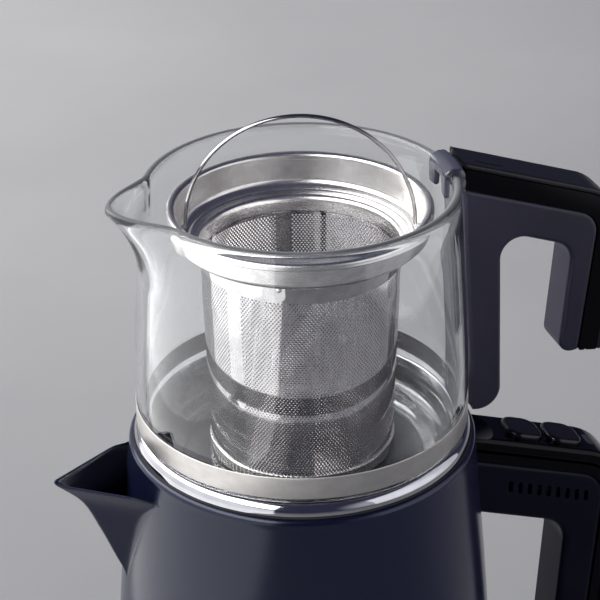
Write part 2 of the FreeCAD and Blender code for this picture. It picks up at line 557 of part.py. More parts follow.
# keep the spine clear of the glass and the band
keep = revolve([(0, 180), (68.3, 180), (68.3, 190.6), (64.6, 191.4), (64.6, 215), (63.6, 232), (62.6, 250), (61.4, 268), (60.4, 283), (60.4, 300), (0, 300)])
p_body = p_body.cut(keep)
save([screw((75.4, 0, Z0 - 4.4), (1, 0, 0), 2.8, 1.9, 1.45, 10.6)], "band_screw")

# two-pronged clip over the rim, with a tongue held under the handle's cover
clip_top = 296.0
clip = slab([(52.1, 279.6), (54.7, 279.6), (54.8, 291.8), (55.6, 292.5), (59.6, 292.5), (60.0, 291.6), (60.0, 285.0), (61.3, 285.0), (61.3, 295.2),
             (60.0, clip_top), (55.0, clip_top), (52.6, 294.6)], [0.8, 0.4, 0.3, 0.3, 0.2, 0.2, 0.2, 0.2, 0.5, 1.0, 2.4, 1.5], -8.6, 8.6)
clip = clip.cut(slab([(50.0, 270.0), (57.0, 270.0), (57.0, 292.6), (50.0, 292.6)], [0, 0, 0, 0], -3.6, 3.6))
clip = clip.cut(ring(54.85, 59.55, 262.0, 292.3))
clip = clip.cut(ring(53.0, 62.0, 262.0, 279.0))
tongue = slab([(60.6, ptop(60.6) - 2.4), (68.4, ptop(68.4) - 2.4), (68.4, ptop(68.4) - 3.9), (60.6, ptop(60.6) - 3.9)], 0, -5.0, 5.0)
clip = clip.fuse(tongue)
tongue_gap = slab([(60.6, ptop(60.6) - 2.2), (68.6, ptop(68.6) - 2.2), (68.6, ptop(68.6) - 4.05), (60.6, ptop(60.6) - 4.05)], 0, -5.2, 5.2)
p_cover = p_cover.cut(box(50, 61.45, -10, 10, 280, 300)).cut(tongue_gap)
p_trim = p_trim.cut(box(50, 61.45, -10, 10, 280, 300)).cut(tongue_gap)
p_trim2 = p_trim2.cut(box(50, 61.45, -10, 10, 270, 300))
p_body = p_body.cut(box(50, 61.45, -10, 10, 283.0, 300))
save(clip.removeSplitter(), "rim_clip")
# slot line on the cover behind the nose
p_cover = p_cover.cut(box(67.0, 78.0, -4.2, -3.4, ptop(72.0) - 3.5, ptop(66.0) + 3).cut(
    slab([(60, ptop(60) - 0.9), (90, ptop(90) - 0.9), (90, 250), (60, 250)], 0, -12, 12)))
screw_x = (72.0, 96.0)
for x in screw_x:
    a = V(math.sin(math.atan(SLOPE_POT)), 0, math.cos(math.atan(SLOPE_POT)))
    p0 = V(x, 0, ptop(x)) - a * 16.0
    p_body = p_body.cut(cyl(1.2, 20, p0, a))
    p_trim = p_trim.cut(cyl(1.6, 20, p0, a))
    p_trim2 = p_trim2.cut(cyl(1.6, 20, p0, a))
    p_trim = p_trim.cut(cyl(3.0, 2.3, V(x, 0, ptop(x)) - a * 4.6, a))
save(p_body.removeSplitter(), "pot_handle_body")
save(p_trim2.removeSplitter(), "pot_handle_gasket")
save(p_trim.removeSplitter(), "pot_handle_trim")
save(p_cover.removeSplitter(), "pot_handle_cover")
scs = []
for x in screw_x:
    a = V(math.sin(math.atan(SLOPE_POT)), 0, math.cos(math.atan(SLOPE_POT)))
    scs.append(screw(tuple(V(x, 0, ptop(x)) - a * 4.5), (a.x, a.y, a.z), 2.7, 1.7, 1.15, 10.5))
save(scs, "pot_handle_screws")

# =================================================================== INFUSER
t = 0.7
c = Z0
cup = revolve([
    (48.4, c + 75.9), (49.1, c + 76.2), (49.3, c + 77.5), ("a", (49.0, c + 78.5), (48.0, c + 78.8)), (47.2, c + 78.7),
    ("a", (46.4, c + 78.2), (46.1, c + 77.2)), (45.0, c + 69.4), ("a", (44.5, c + 67.9), (43.2, c + 67.2)), (41.6, c + 66.7),
    ("a", (40.6, c + 66.2), (39.9, c + 65.2)), (38.2, c + 64.4), ("a", (36.8, c + 63.4), (36.3, c + 61.8)), (36.3, c + 60.2),
    (36.98, c + 60.2), (36.98, c + 64.1), (39.6, c + 64.2), ("a", (40.5, c + 65.2), (41.6, c + 65.7)), (43.4, c + 66.2),
    ("a", (45.2, c + 67.2), (45.9, c + 69.3)), (46.9, c + 76.8), ("a", (47.2, c + 77.6), (47.8, c + 77.7)), (48.3, c + 77.4)])
pa = math.radians(BAIL_ANGLE)
pdir = V(math.cos(pa), math.sin(pa), 0)
holes = cyl(1.25, 120, pdir * (-60) + V(0, 0, BAIL_PIVOT_Z), pdir)
PIV_Z = BAIL_PIVOT_Z
cup = cup.cut(holes)
save(cup, "infuser_cup")

basket = revolve([(37.05, c + 58.0), (37.05, c + 64.05), (37.55, c + 64.05), (37.55, c + 58.0), (35.2, BASKET_BOT_Z + 3.8), (35.2, BASKET_BOT_Z + 0.9),
                  (34.7, BASKET_BOT_Z + 0.9), (34.7, BASKET_BOT_Z + 3.8)])
save(basket, "infuser_basket")
bottom = revolve([(0, BASKET_BOT_Z + 1.0), (31.5, BASKET_BOT_Z + 0.75), (33.0, BASKET_BOT_Z), (35.0, BASKET_BOT_Z), ("a", (35.62, BASKET_BOT_Z + 0.25), (35.85, BASKET_BOT_Z + 0.9)),
                  (35.85, BASKET_BOT_Z + 4.2), (35.25, BASKET_BOT_Z + 4.2), (35.25, BASKET_BOT_Z + 0.85), (33.4, BASKET_BOT_Z + 0.7), (31.9, BASKET_BOT_Z + 1.4), (0, BASKET_BOT_Z + 1.65)])
save(bottom, "infuser_bottom")

# bail: half hoop of wire with its ends turned out through the cup wall
hz = PIV_Z
zc = hz + BAIL_BEND
c45 = math.cos(math.radians(45.0))
def seg(a, b):
    return Part.LineSegment(a, b).toShape()
path = Part.Wire([
    seg(V(-46.9, 0, hz), V(-BAIL_R - BAIL_BEND, 0, hz)),
    Part.Arc(V(-BAIL_R - BAIL_BEND, 0, hz), V(-BAIL_R - BAIL_BEND * (1 - c45), 0, zc - BAIL_BEND * c45), V(-BAIL_R, 0, zc)).toShape(),
    Part.Arc(V(-BAIL_R, 0, zc), V(0, 0, zc + BAIL_R), V(BAIL_R, 0, zc)).toShape(),
    Part.Arc(V(BAIL_R, 0, zc), V(BAIL_R + BAIL_BEND * (1 - c45), 0, zc - BAIL_BEND * c45), V(BAIL_R + BAIL_BEND, 0, hz)).toShape(),
    seg(V(BAIL_R + BAIL_BEND, 0, hz), V(46.9, 0, hz))])
section = Part.Wire([Part.Circle(V(-46.9, 0, hz), V(1, 0, 0), BAIL_WIRE_R).toShape()])
bail = path.makePipeShell([section], True, True)
bail.rotate(V(0, 0, 0), V(0, 0, 1), BAIL_ANGLE)
save(bail, "infuser_bail")
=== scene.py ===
import bpy, bmesh, math
import numpy as np
from mathutils import Vector, Matrix, noise


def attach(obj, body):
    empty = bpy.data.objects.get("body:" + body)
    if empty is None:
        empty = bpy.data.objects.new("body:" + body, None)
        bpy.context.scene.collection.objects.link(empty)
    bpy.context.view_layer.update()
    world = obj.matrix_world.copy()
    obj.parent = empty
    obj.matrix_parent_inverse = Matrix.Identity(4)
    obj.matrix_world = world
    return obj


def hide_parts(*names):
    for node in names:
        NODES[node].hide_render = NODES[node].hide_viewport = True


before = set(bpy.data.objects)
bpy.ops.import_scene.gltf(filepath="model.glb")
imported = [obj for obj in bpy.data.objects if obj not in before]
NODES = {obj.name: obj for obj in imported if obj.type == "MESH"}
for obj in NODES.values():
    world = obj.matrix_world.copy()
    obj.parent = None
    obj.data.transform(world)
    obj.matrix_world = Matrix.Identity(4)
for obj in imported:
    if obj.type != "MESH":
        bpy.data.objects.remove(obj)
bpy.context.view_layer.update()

# Electric tea maker in the shared frame: metres, +Z up, +X to the handles, -X to the lips.
# Profiles below are written in millimetres and scaled once, in the mesh helpers.
scene = bpy.context.scene
MM = 0.001
Z0 = 205.0
pi = math.pi
SLOPE_POT = 0.3404

# ------------------------------------------------------------------ camera
def cam2row(x, y, z=0.0):
    """Studio axes (x to the picture's right, y away from the camera) to the part's own frame."""
    c, s = math.cos(math.radians(16.5)), math.sin(math.radians(16.5))
    return Vector((x * c + y * s, -x * s + y * c, z))

def make_camera():
    cam = bpy.data.cameras.new("cam")
    cam.sensor_width = 36.0
    cam.lens = 1984.0 / 600.0 * 36.0
    cam.clip_start, cam.clip_end = 0.05, 30.0
    ob = bpy.data.objects.new("cam", cam)
    scene.collection.objects.link(ob)
    pitch, yaw, roll = math.radians(27.62), math.radians(0.035), math.radians(-0.55)
    f = cam2row(-math.sin(yaw) * math.cos(pitch), math.cos(yaw) * math.cos(pitch), -math.sin(pitch))
    r0 = f.cross(Vector((0, 0, 1))).normalized()
    u0 = r0.cross(f).normalized()
    r = r0 * math.cos(roll) + u0 * math.sin(roll)
    u = -r0 * math.sin(roll) + u0 * math.cos(roll)
    m = Matrix((r, u, -f)).transposed().to_4x4()
    m.translation = Vector((-0.1880, -0.6347, 0.590))
    ob.matrix_world = m
    scene.camera = ob

make_camera()

# ------------------------------------------------------------------ lights
def area(name, loc, aim, sx, sy, power, colour=(1, 1, 1)):
    L = bpy.data.lights.new(name, "AREA")
    L.shape = "RECTANGLE"
    L.size, L.size_y = sx, sy
    L.energy = power
    L.color = colour
    ob = bpy.data.objects.new(name, L)
    scene.collection.objects.link(ob)
    loc, aim = Vector(loc), Vector(aim)
    d = (aim - loc).normalized()
    x = d.cross(Vector((0, 0, 1)))
    x = x.normalized() if x.length > 1e-6 else Vector((1, 0, 0))
    y = x.cross(d)
    m = Matrix((x, y, -d)).transposed().to_4x4()
    m.translation = loc
    ob.matrix_world = m
    ob.visible_camera = False
    return ob

def panel(name, a, b, z0, z1, radiance, colour=(1, 1, 1)):
    """Upright soft box standing on the line a-b (studio axes), facing the object."""
    ax, ay, bx, by = *a, *b
    cx, cy, zc = (ax + bx) / 2, (ay + by) / 2, (z0 + z1) / 2
    L = math.hypot(bx - ax, by - ay)
    nx, ny = (by - ay) / L, -(bx - ax) / L
    if nx * -cx + ny * -cy < 0:
        nx, ny = -nx, -ny
    return area(name, cam2row(cx, cy, zc), cam2row(cx + nx, cy + ny, zc), L, z1 - z0, radiance * pi * L * (z1 - z0), colour)

# soft boxes at the left and a bounce board at the right for the reflections, and two soft lights that only fill
low = panel("window_low", (-0.155, -0.51), (-0.222, 0.12), 0.003, 0.135, 1.12, (1.0, 0.995, 0.99))
mid = panel("window_mid", (-0.155, -0.51), (-0.222, 0.12), 0.135, 0.30, 1.12, (1.0, 0.995, 0.99))
veil = panel("window_glass", (-0.155, -0.51), (-0.222, 0.12), 0.003, 0.32, 1.9, (0.975, 0.985, 1.0))   # seen in the glass only
right = panel("bounce_right", (0.27, -0.30), (0.34, 0.12), 0.15, 0.50, 0.7, (0.98, 0.985, 1.0))
high = panel("window_high", (-0.155, -0.51), (-0.50, 0.45), 0.36, 0.86, 4.5, (1.0, 0.998, 0.99))
for ob in (low, mid, high, right, veil):
    ob.visible_diffuse = False
side = area("side_back", cam2row(-1.05, 0.95, 1.25), cam2row(-0.1, 0.45, 0.0), 1.4, 1.1, 23.5, (1.0, 0.995, 0.99))
top = area("top_back", cam2row(0.10, 1.25, 1.8), cam2row(0.0, 0.75, 0.0), 2.0, 1.3, 7.0, (0.985, 0.985, 1.0))
for ob in (side, top):
    ob.visible_glossy = False

world = bpy.data.worlds.new("studio")
scene.world = world
world.use_nodes = True
wn = world.node_tree
wn.nodes.clear()
wo = wn.nodes.new("ShaderNodeOutputWorld")
bg = wn.nodes.new("ShaderNodeBackground")
wtc = wn.nodes.new("ShaderNodeTexCoord")
def lobe(direction, c0, c1, value):
    """Soft patch of light in the room, centred on a direction."""
    d = wn.nodes.new("ShaderNodeVectorMath")
    d.operation = "DOT_PRODUCT"
    d.inputs[1].default_value = Vector(direction).normalized()
    wn.links.new(wtc.outputs["Generated"], d.inputs[0])
    r = wn.nodes.new("ShaderNodeMapRange")
    r.interpolation_type = "SMOOTHSTEP"
    r.inputs["From Min"].default_value = c0
    r.inputs["From Max"].default_value = c1
    r.inputs["To Min"].default_value = 0.0
    r.inputs["To Max"].default_value = value
    wn.links.new(d.outputs["Value"], r.inputs["Value"])
    return r.outputs[0]

def wadd(x, y):
    n = wn.nodes.new("ShaderNodeMath")
    n.operation = "ADD"
    for i, v in enumerate((x, y)):
        if isinstance(v, float):
            n.inputs[i].default_value = v
        else:
            wn.links.new(v, n.inputs[i])
    return n.outputs[0]

pale = wadd(lobe(cam2row(0.86, -0.42, 0.20), 0.72, 0.93, 0.42),       # pale walls to the right and at the back left
            lobe(cam2row(-0.55, 0.80, 0.15), 0.70, 0.95, 0.40))
wcol = wn.nodes.new("ShaderNodeCombineColor")
for i, v in enumerate((0.040, 0.042, 0.078)):                         # the rest of the room is dim and bluish
    wn.links.new(wadd(pale, v), wcol.inputs[i])
wn.links.new(wcol.outputs[0], bg.inputs[0])
bg.inputs[1].default_value = 1.0
wn.links.new(bg.outputs[0], wo.inputs[0])

scene.view_settings.view_transform = "Standard"
scene.view_settings.look = "None"
scene.cycles.max_bounces = 20
scene.cycles.transmission_bounces = 18
scene.cycles.glossy_bounces = 8
scene.cycles.diffuse_bounces = 4
scene.cycles.transparent_max_bounces = 16
scene.cycles.sample_clamp_indirect = 6.0
scene.cycles.blur_glossy = 0.3

# ------------------------------------------------------------------ material helpers
def new_mat(name):
    m = bpy.data.materials.new(name)
    m.use_nodes = True
    nt = m.node_tree
    nt.nodes.clear()
    out = nt.nodes.new("ShaderNodeOutputMaterial")
    p = nt.nodes.new("ShaderNodeBsdfPrincipled")
    out.location, p.location = (600, 0), (300, 0)
    nt.links.new(p.outputs[0], out.inputs[0])
    return m, nt, p

def math_node(nt, op, a, b=None):
    n = nt.nodes.new("ShaderNodeMath")
    n.operation = op
    for i, v in enumerate((a, b)):
        if v is None:
            continue
        if isinstance(v, (int, float)):
            n.inputs[i].default_value = v
        else:
            nt.links.new(v, n.inputs[i])
    return n.outputs[0]

def coords(nt, scale=(1, 1, 1)):
    tc = nt.nodes.new("ShaderNodeTexCoord")
    mp = nt.nodes.new("ShaderNodeMapping")
    mp.inputs["Scale"].default_value = scale
    nt.links.new(tc.outputs["Object"], mp.inputs["Vector"])
    return mp.outputs[0]

def ring_coords(nt, ka, kr, kz):
    """(angle, radius, height) coordinates for spun parts, scaled."""
    tc = nt.nodes.new("ShaderNodeTexCoord")
    sp = nt.nodes.new("ShaderNodeSeparateXYZ")
    nt.links.new(tc.outputs["Object"], sp.inputs[0])
    a = math_node(nt, "ARCTAN2", math_node(nt, "MULTIPLY", sp.outputs[1], -1.0), math_node(nt, "MULTIPLY", sp.outputs[0], -1.0))
    rr = math_node(nt, "SQRT", math_node(nt, "ADD", math_node(nt, "MULTIPLY", sp.outputs[0], sp.outputs[0]),
                                         math_node(nt, "MULTIPLY", sp.outputs[1], sp.outputs[1])))
    cb = nt.nodes.new("ShaderNodeCombineXYZ")
    nt.links.new(math_node(nt, "MULTIPLY", a, ka), cb.inputs[0])
    nt.links.new(math_node(nt, "MULTIPLY", rr, kr), cb.inputs[1])
    nt.links.new(math_node(nt, "MULTIPLY", sp.outputs[2], kz), cb.inputs[2])
    return cb.outputs[0]

def noise_node(nt, vec, scale=1.0, detail=2.0, rough=0.5):
    n = nt.nodes.new("ShaderNodeTexNoise")
    n.inputs["Scale"].default_value = scale
    n.inputs["Detail"].default_value = detail
    n.inputs["Roughness"].default_value = rough
    nt.links.new(vec, n.inputs["Vector"])
    return n.outputs["Fac"]

def ranged(nt, fac, lo, hi, a=0.3, b=0.7):
    n = nt.nodes.new("ShaderNodeMapRange")
    n.inputs["From Min"].default_value = a
    n.inputs["From Max"].default_value = b
    n.inputs["To Min"].default_value = lo
    n.inputs["To Max"].default_value = hi
    nt.links.new(fac, n.inputs["Value"])
    return n.outputs[0]

def two_colours(nt, fac, c0, c1, a=0.35, b=0.65):
    r = nt.nodes.new("ShaderNodeValToRGB")
    r.color_ramp.elements[0].position = a
    r.color_ramp.elements[1].position = b
    r.color_ramp.elements[0].color = (*c0, 1)
    r.color_ramp.elements[1].color = (*c1, 1)
    nt.links.new(fac, r.inputs[0])
    return r.outputs[0]

def bump(nt, p, height, strength, distance):
    b = nt.nodes.new("ShaderNodeBump")
    b.inputs["Strength"].default_value = strength
    b.inputs["Distance"].default_value = distance
    nt.links.new(height, b.inputs["Height"])
    nt.links.new(b.outputs[0], p.inputs["Normal"])
    return b

def shade(c, k):
    return tuple(min(1.0, x * k) for x in c)

def spun_steel(name, colour, rough, aniso=0.5, streak=1.0, ka=3.0, fine=5200.0):
    """Sheet steel turned or polished round the axis: rings of slightly different gloss."""
    m, nt, p = new_mat(name)
    v = ring_coords(nt, ka, fine, fine)
    n1 = noise_node(nt, v, 1.0, 3.0, 0.6)
    v2 = ring_coords(nt, 9.0, 260.0, 260.0)
    n2 = noise_node(nt, v2, 1.0, 2.0)
    nt.links.new(two_colours(nt, n2, shade(colour, 0.93), shade(colour, 1.04)), p.inputs["Base Color"])
    nt.links.new(ranged(nt, n1, rough * (1 - 0.35 * streak), rough * (1 + 0.45 * streak)), p.inputs["Roughness"])
    p.inputs["Metallic"].default_value = 1.0
    p.inputs["Anisotropic"].default_value = aniso
    t = nt.nodes.new("ShaderNodeTangent")
    t.direction_type = "RADIAL"
    t.axis = "Z"
    nt.links.new(t.outputs[0], p.inputs["Tangent"])
    bump(nt, p, n1, 0.10 * streak, 0.00004)
    return m

def metal(name, colour, rough, grain=900.0, strength=0.08):
    m, nt, p = new_mat(name)
    n1 = noise_node(nt, coords(nt), grain, 3.0)
    n2 = noise_node(nt, coords(nt), grain / 14.0, 2.0)
    nt.links.new(two_colours(nt, n2, shade(colour, 0.9), shade(colour, 1.05)), p.inputs["Base Color"])
    nt.links.new(ranged(nt, n2, rough * 0.8, rough * 1.3), p.inputs["Roughness"])
    p.inputs["Metallic"].default_value = 1.0
    bump(nt, p, n1, strength, 0.00005)
    return m

def plastic(name, colour, rough, grain=2600.0, strength=0.18, coat=0.0, coat_rough=0.1, spec=0.5, drift=0.10):
    """Moulded plastic: fine skin texture, faint drift of colour and gloss."""
    m, nt, p = new_mat(name)
    v = coords(nt)
    n1 = noise_node(nt, v, grain, 3.0, 0.55)
    n2 = noise_node(nt, v, 38.0, 3.0)
    nt.links.new(two_colours(nt, n2, shade(colour, 1 - drift), shade(colour, 1 + drift)), p.inputs["Base Color"])
    nt.links.new(ranged(nt, n2, rough * 0.85, rough * 1.15), p.inputs["Roughness"])
    p.inputs["Coat Weight"].default_value = coat
    p.inputs["Coat Roughness"].default_value = coat_rough
    p.inputs["Specular IOR Level"].default_value = spec
    bump(nt, p, n1, strength, 0.00006)
    return m

def paint(name, colour, rough, spec, painted_inner_shade=False):
    """Stoved gloss enamel on steel, with slight orange peel."""
    m, nt, p = new_mat(name)
    v = coords(nt)
    n1 = noise_node(nt, v, 520.0, 2.0, 0.5)
    n2 = noise_node(nt, v, 22.0, 3.0)
    n3 = noise_node(nt, v, 9000.0, 1.0)
    base = two_colours(nt, n3, shade(colour, 0.86), shade(colour, 1.16))
    if painted_inner_shade:
        # painted shade: faces turned towards the axis are darkened almost to black, standing in for the shade inside
        # the spout
        g = nt.nodes.new("ShaderNodeNewGeometry")
        flat = nt.nodes.new("ShaderNodeVectorMath")
        flat.operation = "MULTIPLY"
        flat.inputs[1].default_value = (1.0, 1.0, 0.0)
        nt.links.new(v, flat.inputs[0])
        dot = nt.nodes.new("ShaderNodeVectorMath")
        dot.operation = "DOT_PRODUCT"
        nt.links.new(flat.outputs[0], dot.inputs[0])
        nt.links.new(g.outputs["Normal"], dot.inputs[1])
        mix = nt.nodes.new("ShaderNodeMix")
        mix.data_type = "RGBA"
        nt.links.new(ranged(nt, dot.outputs["Value"], 1.0, 0.0, -0.012, 0.0), mix.inputs[0])
        nt.links.new(base, mix.inputs[6])
        mix.inputs[7].default_value = (0.0012, 0.0012, 0.0065, 1)
        base = mix.outputs[2]
    nt.links.new(base, p.inputs["Base Color"])
    nt.links.new(ranged(nt, n2, rough * 0.9, rough * 1.1), p.inputs["Roughness"])
    p.inputs["Specular IOR Level"].default_value = spec
    p.inputs["Specular Tint"].default_value = (0.80, 0.86, 1.0, 1)
    bump(nt, p, n1, 0.05, 0.00008)
    return m

def glass_mat(name):
    m, nt, p = new_mat(name)
    v = coords(nt)
    n2 = noise_node(nt, v, 30.0, 2.0)
    nt.links.new(two_colours(nt, n2, (0.982, 0.990, 0.992), (0.988, 0.995, 0.998)), p.inputs["Base Color"])
    p.inputs["Roughness"].default_value = 0.0
    p.inputs["IOR"].default_value = 1.47
    p.inputs["Transmission Weight"].default_value = 1.0
    # painted highlight: a white diffuse layer on the top of the rim stands in for light carried round inside the glass
    sp = nt.nodes.new("ShaderNodeSeparateXYZ")
    nt.links.new(v, sp.inputs[0])
    painted_rim_light = nt.nodes.new("ShaderNodeBsdfDiffuse")
    painted_rim_light.inputs[0].default_value = (0.95, 0.96, 0.96, 1)
    mr = nt.nodes.new("ShaderNodeMixShader")
    nt.links.new(ranged(nt, sp.outputs[2], 0.0, 0.36, 0.2900, 0.2916), mr.inputs[0])
    nt.links.new(p.outputs[0], mr.inputs[1])
    nt.links.new(painted_rim_light.outputs[0], mr.inputs[2])
    out = [n for n in nt.nodes if n.type == "OUTPUT_MATERIAL"][0]
    lp = nt.nodes.new("ShaderNodeLightPath")
    tr = nt.nodes.new("ShaderNodeBsdfTransparent")
    tr.inputs[0].default_value = (0.93, 0.95, 0.94, 1)
    mx = nt.nodes.new("ShaderNodeMixShader")
    nt.links.new(lp.outputs["Is Shadow Ray"], mx.inputs[0])
    nt.links.new(mr.outputs[0], mx.inputs[1])
    nt.links.new(tr.outputs[0], mx.inputs[2])
    nt.links.new(mx.outputs[0], out.inputs[0])
    return m

M = {
    "paint": paint("blue_grey_enamel", (0.019, 0.024, 0.074), 0.19, 0.52),
    "spout": paint("blue_grey_enamel_spout", (0.019, 0.024, 0.074), 0.19, 0.52, True),
    "band": spun_steel("brushed_band_steel", (0.66, 0.64, 0.615), 0.36, 0.75, 0.35, 260.0, 260.0),
    "chrome": spun_steel("polished_collar_steel", (0.57, 0.57, 0.61), 0.06, 0.2, 0.8, 2.0, 3000.0),
    "cup": spun_steel("spun_infuser_steel", (0.76, 0.745, 0.735), 0.25, 0.5, 0.22, 0.8, 4200.0),
    "mesh": spun_steel("perforated_steel", (0.60, 0.585, 0.590), 0.06, 0.0, 0.2, 2.5, 900.0),
    "lining": plastic("dark_band_lining", (0.020, 0.019, 0.030), 0.35, 900.0, 0.05, spec=0.3),
    "wire": metal("drawn_wire_steel", (0.46, 0.445, 0.45), 0.10, 700.0, 0.05),
    "glass": glass_mat("borosilicate_glass"),
    "pot_handle": plastic("satin_slate_plastic", (0.046, 0.043, 0.077), 0.34, 2400.0, 0.16, spec=0.35),
    "pot_cover": plastic("satin_charcoal_plastic", (0.013, 0.012, 0.020), 0.30, 2600.0, 0.2, spec=0.35),
    "ket_handle": plastic("satin_night_blue_plastic", (0.0066, 0.0062, 0.0230), 0.36, 2400.0, 0.14, spec=0.14),
    "gloss": plastic("gloss_black_plastic", (0.0004, 0.0004, 0.0037), 0.10, 900.0, 0.03, spec=0.15),
    "well": plastic("dark_enamelled_well", (0.010, 0.011, 0.020), 0.16, 900.0, 0.05, spec=0.5),
    "clip": plastic("lilac_grey_clip_plastic", (0.105, 0.110, 0.158), 0.20, 1500.0, 0.06, 0.0, 0.12, spec=1.0),
    "base": plastic("moulded_black_base_plastic", (0.012, 0.012, 0.016), 0.46, 1700.0, 0.3),
    "socket": plastic("socket_plastic", (0.016, 0.016, 0.018), 0.5, 1700.0, 0.2),
    "rubber": plastic("foot_rubber", (0.018, 0.018, 0.019), 0.78, 1400.0, 0.4),
    "silicone": plastic("clear_grey_silicone", (0.45, 0.45, 0.46), 0.5, 1200.0, 0.1),
    "screw": metal("zinc_screw_steel", (0.62, 0.61, 0.60), 0.28),
    "brass": metal("contact_brass", (0.80, 0.58, 0.28), 0.26),
    "plate": metal("rolled_plate_steel", (0.66, 0.65, 0.64), 0.33, 500.0),
    "alu": metal("cast_aluminium", (0.62, 0.63, 0.64), 0.45, 380.0, 0.25),
    "board": plastic("green_circuit_board", (0.012, 0.09, 0.035), 0.45, 700.0, 0.1),
    "lens": plastic("smoked_lens", (0.05, 0.05, 0.055), 0.08, 300.0, 0.02, 0.5, 0.03),
    "speaker": plastic("speaker_cone", (0.02, 0.02, 0.02), 0.6, 900.0, 0.3),
    "button": plastic("gloss_button", (0.0075, 0.0065, 0.0120), 0.20, 1200.0, 0.04, spec=0.35),
}

# ------------------------------------------------------------------ mesh helpers
def finish_mesh(name, verts, faces, mat, body, nodes=(), sharp=35.0, merge=0.0):
    """verts in mm. Builds the object, shades it, gives it its body and finish."""
    me = bpy.data.meshes.new(name)
    me.from_pydata([tuple(v) for v in (np.asarray(verts, float) * MM)], [], faces)
    bm = bmesh.new()
    bm.from_mesh(me)
    if merge > 0:
        bmesh.ops.remove_doubles(bm, verts=bm.verts, dist=merge * MM)
        bmesh.ops.dissolve_degenerate(bm, edges=bm.edges, dist=1e-8)
    bmesh.ops.recalc_face_normals(bm, faces=bm.faces)
    bm.to_mesh(me)
    bm.free()
    me.polygons.foreach_set("use_smooth", [True] * len(me.polygons))
    me.set_sharp_from_angle(angle=math.radians(sharp))
    ob = bpy.data.objects.new(name, me)
    scene.collection.objects.link(ob)
    ob.data.materials.append(M[mat])
    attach(ob, body)
    if nodes:
        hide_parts(*nodes)
    return ob

def arcprof(pts, seg=8):
    """Outline in (radius, height); ("a", mid, end) is an arc through mid."""
    out = [pts[0]]
    for p in pts[1:]:
        if p[0] == "a":
            a, m, e = (complex(*out[-1]), complex(*p[1]), complex(*p[2]))
            w = (e - a) / (m - a)
            if abs(w.imag) < 1e-9:
                out.append(p[2])
                continue
            c = (a - m) * (w - abs(w) ** 2) / 2j / w.imag - a
            c = -c
            r = abs(a - c)
            t0, tm, t1 = (math.atan2((q - c).imag, (q - c).real) for q in (a, m, e))
            d = (t1 - t0) % (2 * pi)
            if not (0 <= (tm - t0) % (2 * pi) <= d):
                d -= 2 * pi
            for k in range(1, seg + 1):
                t = t0 + d * k / seg
                out.append((c.real + r * math.cos(t), c.imag + r * math.sin(t)))
        else:
            out.append(tuple(p))
    return out

def fillets(pts, seg=5):
    """Closed outline of (r, z, radius) with rounded corners."""
    n = len(pts)
    out = []
    for i in range(n):
        p0, p1, p2 = (np.array(pts[(i + k) % n][:2], float) for k in (-1, 0, 1))
        rad = pts[i][2] if len(pts[i]) > 2 else 0.0
        a, b = p0 - p1, p2 - p1
        la, lb = np.linalg.norm(a), np.linalg.norm(b)
        a, b = a / la, b / lb
        half = math.acos(max(-1, min(1, float(a @ b)))) / 2
        if rad <= 0 or half > pi / 2 - 1e-3:
            out.append(tuple(p1))
            continue
        d = min(rad / math.tan(half), 0.49 * la, 0.49 * lb)
        rad = d * math.tan(half)
        bis = (a + b) / np.linalg.norm(a + b)
        c = p1 + bis * rad / math.sin(half)
        s, e = p1 + a * d, p1 + b * d
        t0 = math.atan2(*(s - c)[::-1])
        t1 = math.atan2(*(e - c)[::-1])
        dt = (t1 - t0 + pi) % (2 * pi) - pi
        k = max(2, int(seg * abs(dt) / (pi / 2) + 1))
        for j in range(k + 1):
            t = t0 + dt * j / k
            out.append((c[0] + rad * math.cos(t), c[1] + rad * math.sin(t)))
    return out

def catmull(pts, step):
    """Dense smooth line through the points (centripetal Catmull-Rom), about step apart."""
    P = [np.array(p, float) for p in pts]
    P = [2 * P[0] - P[1]] + P + [2 * P[-1] - P[-2]]
    out = []
    for i in range(1, len(P) - 2):
        p0, p1, p2, p3 = P[i - 1:i + 3]
        t0 = 0.0
        t1 = t0 + max(np.linalg.norm(p1 - p0), 1e-6) ** 0.5
        t2 = t1 + max(np.linalg.norm(p2 - p1), 1e-6) ** 0.5
        t3 = t2 + max(np.linalg.norm(p3 - p2), 1e-6) ** 0.5
        k = max(1, int(round(np.linalg.norm(p2 - p1) / step)))
        for j in range(k):
            t = t1 + (t2 - t1) * j / k
            a1 = (t1 - t) / (t1 - t0) * p0 + (t - t0) / (t1 - t0) * p1
            a2 = (t2 - t) / (t2 - t1) * p1 + (t - t1) / (t2 - t1) * p2
            a3 = (t3 - t) / (t3 - t2) * p2 + (t - t2) / (t3 - t2) * p3
            b1 = (t2 - t) / (t2 - t0) * a1 + (t - t0) / (t2 - t0) * a2
            b2 = (t3 - t) / (t3 - t1) * a2 + (t - t1) / (t3 - t1) * a3
            out.append((t2 - t) / (t2 - t1) * b1 + (t - t1) / (t2 - t1) * b2)
    out.append(P[-2])
    return [tuple(p) for p in out]

def lathe(name, prof, mat, body, nodes=(), n=224, warp=None, sharp=35.0, angles=None):
    """Closed (r, z) outline turned round the axis. warp(r, z, angle) -> (r, z)."""
    if angles is None:
        angles = [2 * pi * i / n for i in range(n)]
    n = len(angles)
    m = len(prof)
    verts = []
    for a in angles:
        ca, sa = math.cos(a), math.sin(a)
        for r, z in prof:
            if warp:
                r, z = warp(r, z, a)
            verts.append((r * ca, r * sa, z))
    faces = []
    for i in range(n):
        i2 = (i + 1) % n
        for j in range(m):
            j2 = (j + 1) % m
            faces.append((i * m + j, i2 * m + j, i2 * m + j2, i * m + j2))
    return finish_mesh(name, verts, faces, mat, body, nodes, sharp, merge=0.002)

